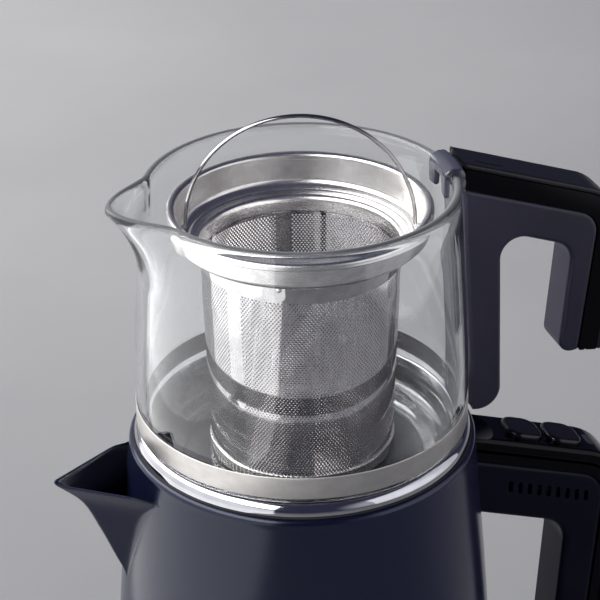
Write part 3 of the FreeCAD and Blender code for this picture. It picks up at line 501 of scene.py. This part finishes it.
def loft(name, rings, mat, body, nodes=(), sharp=35.0, caps=True):
    """Closed rings of equal count joined in a row, ends closed with a fan."""
    m = len(rings[0])
    verts = [p for ring in rings for p in ring]
    faces = []
    for i in range(len(rings) - 1):
        for j in range(m):
            j2 = (j + 1) % m
            faces.append((i * m + j, i * m + j2, (i + 1) * m + j2, (i + 1) * m + j))
    if caps:
        faces.append(tuple(range(m)))
        faces.append(tuple(range((len(rings) - 1) * m, len(rings) * m)))
    return finish_mesh(name, verts, faces, mat, body, nodes, sharp, merge=0.0005)

# ------------------------------------------------------------------ perforated sheet
def perforated(name, mat, body, nodes, cells, place, thick, hole):
    """cells: {(i, j): open?} of a staggered grid in half-step units; place(u, v, t) -> (x, y, z) at depth t.
    Every open cell is a land round one hole; closed cells are plain."""
    corners = ((2, 0), (2, 2), (0, 4), (-2, 2), (-2, 0), (-2, -2), (0, -4), (2, -2))
    n = len(corners)
    ids, keys = {}, []
    def vid(k):
        if k not in ids:
            ids[k] = len(keys)
            keys.append(k)
        return ids[k]
    wrap = cells["wrap"]
    faces = []
    for (cu, cv), is_open in cells["list"]:
        ring = [vid(("c", (cu + du) % wrap if wrap else cu + du, cv + dv)) for du, dv in corners]
        if is_open:
            inner = [vid(("h", cu, cv, k)) for k in range(n)]
            for k in range(n):
                k2 = (k + 1) % n
                faces.append((ring[k], ring[k2], inner[k2], inner[k]))
        else:
            faces.append(tuple(ring))
    nv = len(keys)
    pts = []
    for depth in (0.0, thick):
        for k in keys:
            if k[0] == "c":
                pts.append(place(k[1], k[2], 0.0, 0.0, depth))
            else:
                t = 2 * pi * k[3] / n
                pts.append(place(k[1], k[2], hole * math.cos(t), hole * math.sin(t), depth))
    edge = {}
    for f in faces:
        for a, b in zip(f, f[1:] + f[:1]):
            edge[(a, b)] = edge.get((a, b), 0) + 1
    walls = [(a, b, b + nv, a + nv) for (a, b) in edge if (b, a) not in edge]
    back = [tuple(v + nv for v in reversed(f)) for f in faces]
    return finish_mesh(name, pts, faces + walls + back, mat, body, nodes, 40.0)

# ================================================================== KETTLE BODY
SHELL = [(79.0, 36.0), (78.4, 50.0), (77.25, 72.0), (75.3, 100.0), (72.9, 128.3), (69.85, 160.0), (67.35, 186.2)]
shell_line = catmull(SHELL, 2.0)
_sz = np.array([p[1] for p in shell_line])
_sr = np.array([p[0] for p in shell_line])
def shell_r(z):
    return float(np.interp(z, _sz, _sr))

def kettle_shell():
    outer = list(shell_line)
    top = arcprof([(67.35, 186.2), ("a", (66.88, 187.85), (65.62, 188.7)), (63.6, 188.7)], 12)[1:]
    inner = [(63.6, 187.5), (65.2, 187.3)] + [(r - 1.2, z) for r, z in reversed(shell_line)][1:]
    ob = lathe("kettle_shell_wall", outer + top + inner, "paint", "kettle", ("kettle_shell",), 288)
    # strainer holes behind the spout
    cut = bmesh.new()
    for z, angs in ((165.0, (-7, -3.5, 0, 3.5, 7)), (160.5, (-5.25, -1.75, 1.75, 5.25)), (156.0, (-3.5, 0, 3.5)), (151.5, (-1.75, 1.75))):
        for a in angs:
            aa = math.radians(180 + a)
            d = Vector((math.cos(aa), math.sin(aa), 0))
            m = d.to_track_quat("Z", "Y").to_matrix().to_4x4()
            m.translation = (d * 70.0 + Vector((0, 0, z))) * MM
            bmesh.ops.create_cone(cut, cap_ends=True, segments=24, radius1=1.7 * MM, radius2=1.7 * MM, depth=12 * MM, matrix=m)
    me = bpy.data.meshes.new("cut")
    cut.to_mesh(me)
    cut.free()
    tool = bpy.data.objects.new("cut", me)
    scene.collection.objects.link(tool)
    mod = ob.modifiers.new("holes", "BOOLEAN")
    mod.operation, mod.solver, mod.object = "DIFFERENCE", "EXACT", tool
    bpy.context.view_layer.update()
    new = bpy.data.meshes.new_from_object(ob.evaluated_get(bpy.context.evaluated_depsgraph_get()))
    ob.modifiers.clear()
    ob.data = new
    bpy.data.objects.remove(tool)
    new.set_sharp_from_angle(angle=math.radians(35))
    return ob

kettle_shell()

SPOUT_TOP = Z0 - 24.1
SP = [(SPOUT_TOP, 101.0, 23.5, 3.4), (Z0 - 34.0, 90.8, 16.7, 3.2), (Z0 - 48.0, 83.9, 12.0, 2.8), (Z0 - 55.5, 80.6, 9.6, 2.3),
      (Z0 - 64.0, 77.0, 6.4, 1.6), (Z0 - 73.5, 72.4, 2.2, 0.7)]
sp_line = catmull([(z, t, h, r) for z, t, h, r in SP], 1.0)
_pz = np.array([p[0] for p in sp_line][::-1])
def sp_at(z):
    return [float(np.interp(z, _pz, np.array([p[k] for p in sp_line][::-1]))) for k in (1, 2, 3)]

def vee_r(phi, T, h, rt, inset=0.0):
    """Radius of the V outline at angle phi from its middle plane, set in by inset."""
    phi = abs(phi)
    be = math.atan2(h, T - 66.0)
    T = T - inset / math.sin(be)
    rt = max(rt - inset, 0.45)
    c = T - rt / math.sin(be)
    pt, qt = c + rt * math.sin(be), rt * math.cos(be)
    if phi <= math.atan2(qt, pt):
        return c * math.cos(phi) + math.sqrt(max(0.0, rt * rt - (c * math.sin(phi)) ** 2))
    return T * math.sin(be) / (math.sin(phi) * math.cos(be) + math.cos(phi) * math.sin(be))

def smax(a, b, k):
    return max(a, b) + max(k - abs(a - b), 0.0) ** 2 / (4 * k)

def spout():
    rows_n, half = 46, 30
    z_lo = Z0 - 75.4
    def outer_pts(z):
        T, h, rt = sp_at(max(z, Z0 - 73.5))
        if z < Z0 - 73.5:
            f = (Z0 - 73.5 - z) / 1.9
            T, h = T - 1.9 * f, h * (1 - 0.4 * f)
        R = shell_r(z)
        K = 1.1 + 1.7 * min(1.0, (SPOUT_TOP - z) / 12.0)
        f = lambda a: vee_r(a, T, h, rt) - (R - K)
        if f(0.0) <= 0:
            return [(0.0, R)] * (2 * half + 1)
        lo, hi = 0.0, 0.7
        for _ in range(40):
            mid = (lo + hi) / 2
            lo, hi = (mid, hi) if f(mid) > 0 else (lo, mid)
        out = []
        for i in range(-half, half + 1):
            u = i / half
            phi = lo * (0.35 * u + 0.65 * u ** 3 if abs(u) < 1 else u)
            out.append((phi, smax(R, vee_r(phi, T, h, rt), K) if abs(u) < 1 else R))
        return out
    def droop(pts_at, z, k):
        """Row of points at height z whose two ends hang k lower, where the rim runs into the body."""
        row = pts_at(z)
        out = []
        for j, (phi, r) in enumerate(row):
            t = max(0.0, (abs(j - half) / half - 0.80) / 0.20)
            d = k * t * t * (3 - 2 * t)
            if d > 0.01:
                phi, r = pts_at(z - d)[j]
            out.append((phi, r, z - d))
        return out
    def inner_pts(z):
        T, h, rt = sp_at(max(z, Z0 - 73.5))
        R = shell_r(z)
        f = lambda a: vee_r(a, T, h, rt, 1.25) - (R - 0.3)
        if f(0.0) <= 0:
            return [(0.0, R - 0.3)] * (2 * half + 1)
        lo, hi = 0.0, 0.7
        for _ in range(40):
            mid = (lo + hi) / 2
            lo, hi = (mid, hi) if f(mid) > 0 else (lo, mid)
        return [(lo * (0.35 * i / half + 0.65 * (i / half) ** 3), vee_r(lo * (0.35 * i / half + 0.65 * (i / half) ** 3), T, h, rt, 1.25))
                for i in range(-half, half + 1)]
    def xyz(phi, r, z):
        a = pi + phi
        return (r * math.cos(a), r * math.sin(a), z)
    # end of the inner pocket
    lo, hi = z_lo, SPOUT_TOP
    for _ in range(40):
        mid = (lo + hi) / 2
        T, h, rt = sp_at(max(mid, Z0 - 73.5))
        if vee_r(0.0, T, h, rt, 1.25) > shell_r(mid) - 0.3:
            hi = mid
        else:
            lo = mid
    z_in = hi
    w = 2 * half + 1
    e = 0.32
    rings = []     # each ring: w points
    for k in range(rows_n):                       # outer face, bottom to top
        v = k / (rows_n - 1)
        z = z_lo + (SPOUT_TOP - e - z_lo) * v
        rings.append([xyz(*q) for q in droop(outer_pts, z, 1.7 * v ** 4)])
    o, i_ = droop(outer_pts, SPOUT_TOP, 1.7), droop(inner_pts, SPOUT_TOP, 1.7)
    for t, dz in ((0.10, -0.07), (0.28, 0.0), (0.72, 0.0), (0.90, -0.07)):
        rings.append([xyz(a[0] + (b[0] - a[0]) * t, a[1] + (b[1] - a[1]) * t, a[2] + (b[2] - a[2]) * t + dz) for a, b in zip(o, i_)])
    for k in range(rows_n):                       # inner face, top to bottom
        v = k / (rows_n - 1)
        z = SPOUT_TOP - e + (z_in - SPOUT_TOP + e) * v
        rings.append([xyz(*q) for q in droop(inner_pts, z, 1.7 * (1 - v) ** 4)])
    verts, faces = [p for ring in rings for p in ring], []
    for i in range(len(rings) - 1):
        for j in range(w - 1):
            faces.append((i * w + j, i * w + j + 1, (i + 1) * w + j + 1, (i + 1) * w + j))
    # close both flanks and the end inside the wall of the body
    base = len(verts)
    n = len(rings)
    for j in (0, w - 1):
        col = []
        for i in range(n):
            x, y, z = rings[i][j]
            r = math.hypot(x, y)
            q = (shell_r(z) - 0.8) / r
            col.append(len(verts))
            verts.append((x * q, y * q, z))
        for i in range(n - 1):
            faces.append((i * w + j, (i + 1) * w + j, col[i + 1], col[i]))
        if j == 0:
            left = col
        else:
            right = col
    for i in range(n // 2):
        k = n - 1 - i
        if i + 1 < k - 1 or True:
            faces.append((left[i], left[i + 1], left[k - 1], left[k])) if i + 1 < k - 1 else None
            faces.append((right[i], right[i + 1], right[k - 1], right[k])) if i + 1 < k - 1 else None
    return finish_mesh("kettle_spout", verts, faces, "spout", "kettle", ("kettle_shell",), 42.0, merge=0.002)

spout()

# ================================================================== COLLAR AND SEAL
LEDGE, MOUTH = Z0 - 24.5, 47.0
lathe("kettle_collar_ring", arcprof([
    (65.2, 188.75), (65.2, 189.5), ("a", (64.55, 192.2), (62.5, 193.9)), ("a", (61.95, 193.85), (61.6, 193.2)),
    (60.75, 190.7), (61.0, 190.3), (61.5, 190.4), (62.2, 192.6), ("a", (62.5, 193.0), (62.9, 192.8)), ("a", (63.9, 191.3), (64.4, 189.2)), (64.4, 188.75)], 12), "chrome", "kettle", ("kettle_collar",), 288)
lathe("kettle_collar_well", arcprof([
    (60.85, 190.6), (60.6, 190.3), (60.6, LEDGE + 1.0), ("a", (60.3, LEDGE + 0.3), (59.6, LEDGE)), (MOUTH + 1.2, LEDGE), ("a", (MOUTH + 0.35, LEDGE - 0.35), (MOUTH, LEDGE - 1.2)),
    (MOUTH, LEDGE - 3.0), (MOUTH + 0.8, LEDGE - 3.0), (MOUTH + 0.8, LEDGE - 1.6),
    ("a", (MOUTH + 1.0, LEDGE - 1.0), (MOUTH + 1.6, LEDGE - 0.8)), (61.4, LEDGE - 0.8), (61.4, 190.35), (61.1, 190.6)], 8), "well", "kettle", ("kettle_collar",), 224)
lathe("collar_seal_ring", arcprof([(65.72, 188.72), ("a", (65.8, 188.98), (65.55, 189.15)), (65.25, 189.15), (65.25, 188.72)], 6), "rubber", "kettle", ("collar_seal",), 256)

# ================================================================== GLASS POT
G_OUT = [(181.85, 0.0), (181.8, 20.0), (181.7, 38.0), (181.5, 46.0), (181.05, 50.0), (181.0, 53.0), (181.25, 55.6), (182.4, 58.0), (184.4, 59.4), (187.0, 59.85), (192.0, 59.85),
         (194.6, 60.6), (197.0, 62.1), (199.6, 63.1), (204.0, 63.3), (211.0, 63.7), (218.0, 63.55), (232.0, 62.9), (248.0, 61.9), (260.0, 61.1),
         (266.0, 60.7), (272.0, 60.3), (277.0, 59.95), (281.0, 59.6), (284.5, 59.3), (287.5, 59.2), (289.9, 59.2), (291.2, 58.85), (291.85, 58.2), (292.0, 57.55)]
G_IN = [(184.2, 0.0), (184.2, 30.0), (184.2, 46.0), (184.25, 50.0), (184.6, 52.8), (185.8, 55.0), (188.0, 56.3), (191.0, 56.9), (195.0, 57.9), (198.0, 59.4), (201.0, 60.2), (205.0, 60.5),
        (211.0, 60.75), (218.0, 60.6), (232.0, 59.9), (248.0, 58.9), (260.0, 58.1), (266.0, 57.7), (272.0, 57.3), (277.0, 57.0), (281.0, 56.7),
        (284.5, 56.3), (287.5, 55.95), (289.9, 55.9), (291.2, 56.25), (291.85, 56.9), (292.0, 57.55)]

def lip_shape(a, w):
    t = abs((math.degrees(a) % 360.0) - 180.0) / w
    return 0.0 if t >= 1 else (1 - t) ** 2 * (1 + 2 * t)

def lip_amp(z):
    s = (z - 260.0) / 30.0
    return 0.0 if s <= 0 else 13.4 * min(1.0, s) ** 1.9

def pot_glass():
    out = catmull([(r, z) for z, r in G_OUT], 1.1)
    inn = catmull([(r, z) for z, r in G_IN], 1.1)
    prof = out + inn[::-1][1:]
    prof = [(max(r, 0.0), z) for r, z in prof]
    def warp(r, z, a):
        if r > 40 and z > 260:
            r += lip_amp(z) * lip_shape(a, 33.0 - 7.0 * min(1.0, max(0.0, (z - 260.0) / 30.0)))
        if r > 50:
            q = Vector((math.cos(a) * 2.2, math.sin(a) * 2.2, z * 0.035))
            r += 0.02 * noise.noise(q) * (1 if z > 206 else 0)
        return r, z
    angles = []
    for i in range(304):
        t = i / 304
        angles.append(2 * pi * t - 0.38 * math.sin(2 * pi * t * 1.0) * 0 + 0.0)
    # closer steps round the lip
    dens = lambda a: 1.0 + 2.2 * math.exp(-((math.degrees(a) - 180.0) / 26.0) ** 2)
    acc, tot = [0.0], 0.0
    fine = [2 * pi * i / 7200 for i in range(7201)]
    for a in fine[:-1]:
        tot += dens(a)
        acc.append(tot)
    acc = np.array(acc) / tot
    angles = list(np.interp(np.linspace(0, 1, 321)[:-1], acc, np.array(fine)))
    return lathe("pot_glass_jug", prof, "glass", "teapot", ("pot_glass",), warp=warp, sharp=60.0, angles=angles)

jug = pot_glass()
linked = bpy.data.collections.new("glass_only")
linked.objects.link(jug)
veil.light_linking.receiver_collection = linked

# ================================================================== STEEL BAND
def pot_band():
    h = 8.8
    gap = math.asin(0.6 / 64.0)
    n = 320
    angles = [gap + (2 * pi - 2 * gap) * i / n for i in range(n + 1)]
    for name, mat, prof in (("pot_band_strip", "band", fillets([(63.50, Z0 - h, 0.1), (64.0, Z0 - h, 0.22), (64.0, Z0, 0.27), (63.50, Z0, 0.2)], 6)),
                            ("pot_band_lining", "lining", fillets([(63.41, Z0 - h + 0.15, 0.0), (63.50, Z0 - h + 0.15, 0.0), (63.50, Z0 - 0.2, 0.0), (63.41, Z0 - 0.2, 0.0)], 2))):
        m = len(prof)
        verts = [(r * math.cos(a), r * math.sin(a), z) for a in angles for r, z in prof]
        faces = [(i * m + j, (i + 1) * m + j, (i + 1) * m + (j + 1) % m, i * m + (j + 1) % m) for i in range(n) for j in range(m)]
        faces += [tuple(range(m)), tuple(range(n * m, n * m + m))]
        finish_mesh(name, verts, faces, mat, "teapot", ("pot_band",), 30.0)

pot_band()

# ================================================================== INFUSER
c = Z0
cup_prof = arcprof([
    (48.3, c + 75.95), (48.9, c + 75.95), ("a", (49.25, c + 76.15), (49.3, c + 76.7)), (49.3, c + 77.5), ("a", (49.0, c + 78.45), (48.0, c + 78.8)), (47.2, c + 78.7),
    ("a", (46.4, c + 78.2), (46.1, c + 77.2)), (45.1, c + 68.9), ("a", (44.6, c + 67.3), (43.6, c + 66.45)), (42.7, c + 66.05),
    ("a", (42.0, c + 66.2), (41.4, c + 65.75)), (40.7, c + 65.45), (38.6, c + 65.1),
    ("a", (37.35, c + 64.6), (36.75, c + 63.7)), (36.4, c + 62.2), (36.3, c + 60.6), (36.3, c + 59.2),
    (36.95, c + 59.2), (36.98, c + 62.6), ("a", (37.2, c + 63.65), (37.9, c + 64.2)), (38.8, c + 64.4), (41.6, c + 65.15), (43.2, c + 65.75),
    ("a", (44.95, c + 66.8), (45.6, c + 68.9)), (46.9, c + 76.8), ("a", (47.2, c + 77.6), (47.8, c + 77.9)), ("a", (48.4, c + 77.7), (48.5, c + 77.0)), (48.3, c + 76.4)], 9)
cup = lathe("infuser_cup_spun", cup_prof, "cup", "infuser", ("infuser_cup",), 288, sharp=38.0)

BAIL_A = math.radians(-16.5)
PIV = Z0 + 69.4

PITCH, ROW = 1.36, 0.91
def basket():
    zb, zt = Z0 - 17.6, Z0 + 58.0
    R0 = 36.4
    N = int(round(2 * pi * R0 / PITCH))
    p = 2 * pi * R0 / N
    rowh = ROW
    J = int((zt - zb) / rowh)
    vs = rowh / 6.0
    def rad(z):
        return 35.2 + (37.55 - 35.2) * (z - (Z0 - 16.6)) / (58.0 + 16.6)
    wrap = 4 * N
    seam = math.radians(-147.0) % (2 * pi)
    seam2 = math.radians(83.5)
    top_tip = 6 * (J - 1) + 4
    def place(u, v, dx, dy, depth):
        th = (u / 4.0 * p + dx) / R0 + 2 * pi * 0.0
        if v <= -2:
            v = -3
        if v >= top_tip - 2:
            v = top_tip
        z = zb + (v + 3) * vs + dy
        r = rad(z) - depth
        return (r * math.cos(th), r * math.sin(th), z)
    parts = 4
    z_top = zb + (top_tip + 3) * vs
    objs = []
    bounds = [seam + 2 * pi * k / parts for k in range(parts + 1)]
    for k in range(parts):
        lst = []
        for j in range(J):
            for i in range(N):
                cu = 4 * i + 2 * (j % 2)
                th = (cu / 4.0 * p) / R0
                d = (th - seam) % (2 * pi)
                if not (2 * pi * k / parts <= d < 2 * pi * (k + 1) / parts):
                    continue
                off = (th - seam + pi) % (2 * pi) - pi
                off2 = (th - seam2 + pi) % (2 * pi) - pi
                is_open = abs(off) * R0 > 3.0 and abs(off2) * R0 > 2.8 and 0 < j < J - 1
                lst.append(((cu % wrap, 6 * j), is_open))
        objs.append(perforated("infuser_mesh_%d" % (k + 1), "mesh", "infuser", ("infuser_basket",), {"wrap": wrap, "list": lst}, place, 0.36, 0.40))
    # plain strip over the perforation, spot welded to the cup
    prof = fillets([(rad(z_top) - 0.42, z_top - 0.02, 0.0), (rad(z_top), z_top - 0.02, 0.0), (37.56, Z0 + 58.6, 0.0), (37.56, Z0 + 63.9, 0.1), (37.08, Z0 + 63.9, 0.1), (37.08, Z0 + 58.6, 0.0)])
    lathe("infuser_basket_strip", prof, "mesh", "infuser", ("infuser_basket",), 224, sharp=30.0)
    verts, faces = [], []
    for a in (-165, -118.5, -54.5, 1.5, 62.0, 130.0):
        b = len(verts)
        a = math.radians(a)
        n_, t_ = np.array((math.cos(a), math.sin(a), 0)), np.array((-math.sin(a), math.cos(a), 0))
        o = n_ * 37.5 + np.array((0, 0, Z0 + 62.1))
        rings = ((1.15, -0.15), (1.15, 0.06), (0.95, 0.22), (0.6, 0.33), (0.25, 0.37))
        for rr, hh in rings:
            for q in range(16):
                f = 2 * pi * q / 16
                verts.append(o + n_ * hh + t_ * rr * math.cos(f) + np.array((0, 0, rr * math.sin(f))))
        for s in range(len(rings) - 1):
            for q in range(16):
                q2 = (q + 1) % 16
                faces.append((b + s * 16 + q, b + s * 16 + q2, b + (s + 1) * 16 + q2, b + (s + 1) * 16 + q))
        faces.append(tuple(b + q for q in range(16)))
        faces.append(tuple(b + (len(rings) - 1) * 16 + q for q in range(16)))
    finish_mesh("infuser_spot_welds", verts, faces, "cup", "infuser", (), 60.0)

basket()

def basket_floor():
    zf = Z0 - 20.4
    p = 1.25
    rowh = p * math.sqrt(3) / 2
    R = 31.7
    lst = []
    for j in range(-30, 31):
        for i in range(-28, 29):
            cu, cv = 4 * i + 2 * (j % 2), 6 * j
            x, y = cu / 4.0 * p, j * rowh
            d = math.hypot(x, y)
            if d > R + 0.4:
                continue
            lst.append(((cu, cv), d < R - 1.6))
    def place(u, v, dx, dy, depth):
        x, y = u / 4.0 * p + dx, v / 6.0 * rowh + dy
        d = math.hypot(x, y)
        if d > R:
            x, y = x * R / d, y * R / d
        dome = 0.35 * (1 - (min(d, R) / R) ** 2)
        return (x, y, zf + 1.35 + dome - depth)
    perforated("infuser_floor_mesh", "mesh", "infuser", ("infuser_bottom",), {"wrap": 0, "list": lst}, place, 0.4, 0.38)
    prof = arcprof([(31.3, zf + 1.55), (31.3, zf + 0.75), (32.0, zf + 0.7), ("a", (32.6, zf + 0.1), (33.3, zf + 0.02)), (35.0, zf), ("a", (35.62, zf + 0.25), (35.85, zf + 0.9)),
                    (35.85, zf + 3.6), ("a", (35.75, zf + 4.1), (35.5, zf + 4.2)), (35.25, zf + 4.1), (35.25, zf + 1.2), (34.8, zf + 0.75), (33.4, zf + 0.8), (32.2, zf + 1.5)], 6)
    def crimp(r, z, a):
        if r > 34.9 and z > zf + 0.3:
            w = min(1.0, (z - zf - 0.3) / 1.0) * min(1.0, max(0.0, (zf + 4.3 - z) / 0.5))
            r += 0.20 * w * (math.cos(118 * a) - 0.6)
        return r, z
    lathe("infuser_crimped_rim", prof, "cup", "infuser", ("infuser_bottom",), 118 * 6, warp=crimp, sharp=60.0)

basket_floor()

# ------------------------------------------------------------------ bail
def bail():
    bend, R = 1.5, 42.4
    zc = PIV + bend
    path = [(-46.9, PIV), (-46.0, PIV), (-45.0, PIV), (-R - bend, PIV)]
    for k in range(1, 7):
        t = -pi / 2 + (pi / 2) * k / 6
        path.append((-R - bend + bend * math.cos(t), zc + bend * math.sin(t)))
    n = 84
    for k in range(1, n):
        t = pi - pi * k / n
        path.append((R * math.cos(t), zc + R * math.sin(t)))
    mirror = [(-x, z) for x, z in path[:10]][::-1]
    path = path + mirror
    P = np.array(path)
    ca, sa = math.cos(BAIL_A), math.sin(BAIL_A)
    rings = []
    for i in range(len(P)):
        t = P[min(i + 1, len(P) - 1)] - P[max(i - 1, 0)]
        t = t / np.linalg.norm(t)
        nn = np.array((-t[1], t[0]))
        end = min(i, len(P) - 1 - i)
        k = min(1.0, 0.82 + 0.03 * end)
        ring = []
        for q in range(16):
            f = 2 * pi * q / 16
            u, v = 0.74 * k * math.cos(f), 0.95 * k * math.sin(f)
            x, z = P[i] + nn * u
            ring.append((x * ca - v * sa, x * sa + v * ca, z))
        rings.append(ring)
    return loft("infuser_bail_wire", rings, "wire", "bail", ("infuser_bail",), 50.0)

bail()

# ================================================================== RIM CLIP
def clip():
    """Saddle over the rim with two prongs hanging inside the pot, all following the rim's curve."""
    A0, A1 = math.radians(-11.4), math.radians(8.2)
    sec = arcprof([(55.55, Z0 + 84.6), (55.6, Z0 + 85.4), ("a", (56.2, Z0 + 86.85), (57.4, Z0 + 87.2)), ("a", (59.2, Z0 + 86.8), (59.85, Z0 + 85.6)), (60.0, Z0 + 85.0),
                   (61.2, Z0 + 85.0), (61.25, Z0 + 86.8), ("a", (60.2, Z0 + 88.8), (58.0, Z0 + 89.35)), ("a", (55.2, Z0 + 88.9), (53.6, Z0 + 87.2)), (53.1, Z0 + 85.4), (53.2, Z0 + 84.5), (54.2, Z0 + 84.2)], 7)
    cr = sum(q[0] for q in sec) / len(sec)
    cz = sum(q[1] for q in sec) / len(sec)
    rings = []
    n = 30
    steps = [(-0.0, 0.80), (0.004, 0.92), (0.010, 1.0)]
    ang = [(A0 + d, k) for d, k in steps] + [(A0 + 0.016 + (A1 - A0 - 0.032) * i / n, 1.0) for i in range(n + 1)] + [(A1 - d, k) for d, k in steps[::-1]]
    for a, k in ang:
        ring = []
        for r, z in sec:
            r, z = cr + (r - cr) * (0.5 + 0.5 * k), cz + (z - cz) * k if k < 1 else z
            ring.append((r * math.cos(a), r * math.sin(a), z))
        rings.append(ring)
    loft("rim_clip_saddle", rings, "clip", "teapot", ("rim_clip",), 50.0)
    for i, (a0, a1) in enumerate(((-11.4, -5.6), (2.4, 8.2))):
        rings = []
        for z, k in ((86.6, 1.0), (84.0, 1.0), (81.0, 1.0), (78.9, 0.97), (78.2, 0.90), (77.8, 0.78), (77.65, 0.55)):
            r0, r1 = 53.15 + (86.6 - z) * 0.02, 55.55 - (86.6 - z) * 0.01
            am, ah, rm, rh = math.radians((a0 + a1) / 2), math.radians((a1 - a0) / 2), (r0 + r1) / 2, (r1 - r0) / 2
            ring = []
            for cx, cy in ((1, 1), (-1, 1), (-1, -1), (1, -1)):
                for q in range(5):
                    t = {(1, 1): 0, (-1, 1): 1, (-1, -1): 2, (1, -1): 3}[(cx, cy)] * pi / 2 + q * pi / 8
                    rad = 0.6
                    u = cx * (rh - rad) + rad * math.cos(t)
                    v = cy * (ah * 54.4 - rad) + rad * math.sin(t)
                    u, v = u * k, v * (0.35 + 0.65 * k)
                    a = am + v / 54.4
                    ring.append(((rm + u) * math.cos(a), (rm + u) * math.sin(a), Z0 + z))
            rings.append(ring)
        loft("rim_clip_prong_%d" % (i + 1), rings, "clip", "teapot", ("rim_clip",), 50.0)
    # tongue held under the handle's cover
    verts = []
    for x in (60.6, 68.2):
        zt = 295.35 - SLOPE_POT * (x - 60.5)
        verts += [(x, y, zt - d) for y in (-4.8, 4.8) for d in (2.5, 3.8)]
    finish_mesh("rim_clip_tongue", verts, [(0, 1, 3, 2), (4, 6, 7, 5), (0, 4, 5, 1), (2, 3, 7, 6), (0, 2, 6, 4), (1, 5, 7, 3)], "clip", "teapot", ("rim_clip",), 30.0)

clip()

# ================================================================== CAD NODES THAT STAY
KEEP = {
    "base_housing": "base", "base_bottom_plate": "base", "base_feet": "rubber", "base_screws": "screw", "base_connector_post": "socket",
    "base_contacts": "brass", "base_cable_gland": "rubber", "kettle_socket": "socket", "collar_clamp_ring": "plate", "kettle_floor": "plate",
    "heating_element": "alu", "thermal_controller": "socket", "water_sensor": "screw", "kettle_skirt": "base", "skirt_posts": "base",
    "skirt_screws": "screw", "kettle_handle_cover": "gloss", "kettle_handle_trim": "gloss", "kettle_handle_body": "ket_handle",
    "kettle_handle_bracket": "plate", "kettle_handle_screw": "screw", "switch_board": "board", "indicator_lens": "lens", "loudspeaker": "speaker",
    "boil_button_dome": "silicone", "tea_button_dome": "silicone", "boil_button": "button", "tea_button": "button",
    "band_bracket": "plate", "band_screw": "screw", "pot_handle_body": "pot_handle", "pot_handle_gasket": "gloss",
    "pot_handle_trim": "gloss", "pot_handle_cover": "pot_cover", "pot_handle_screws": "screw",
}
for node, key in KEEP.items():
    ob = NODES[node]
    if not ob.material_slots:
        ob.data.materials.append(M[key])
    for s in ob.material_slots:
        s.material = M[key]

# ================================================================== FLOOR
def floor():
    me = bpy.data.meshes.new("floor")
    s = 6.0
    me.from_pydata([(-s, -s, 0), (s, -s, 0), (s, s, 0), (-s, s, 0)], [], [(0, 1, 2, 3)])
    ob = bpy.data.objects.new("floor", me)
    scene.collection.objects.link(ob)
    m, nt, p = new_mat("pale_floor")
    v = coords(nt)
    n1 = noise_node(nt, v, 3.0, 5.0)
    nt.links.new(two_colours(nt, n1, (0.52, 0.52, 0.52), (0.57, 0.57, 0.565)), p.inputs["Base Color"])
    p.inputs["Roughness"].default_value = 0.85
    p.inputs["Specular IOR Level"].default_value = 0.2
    me.materials.append(m)

floor()

bpy.context.view_layer.update()
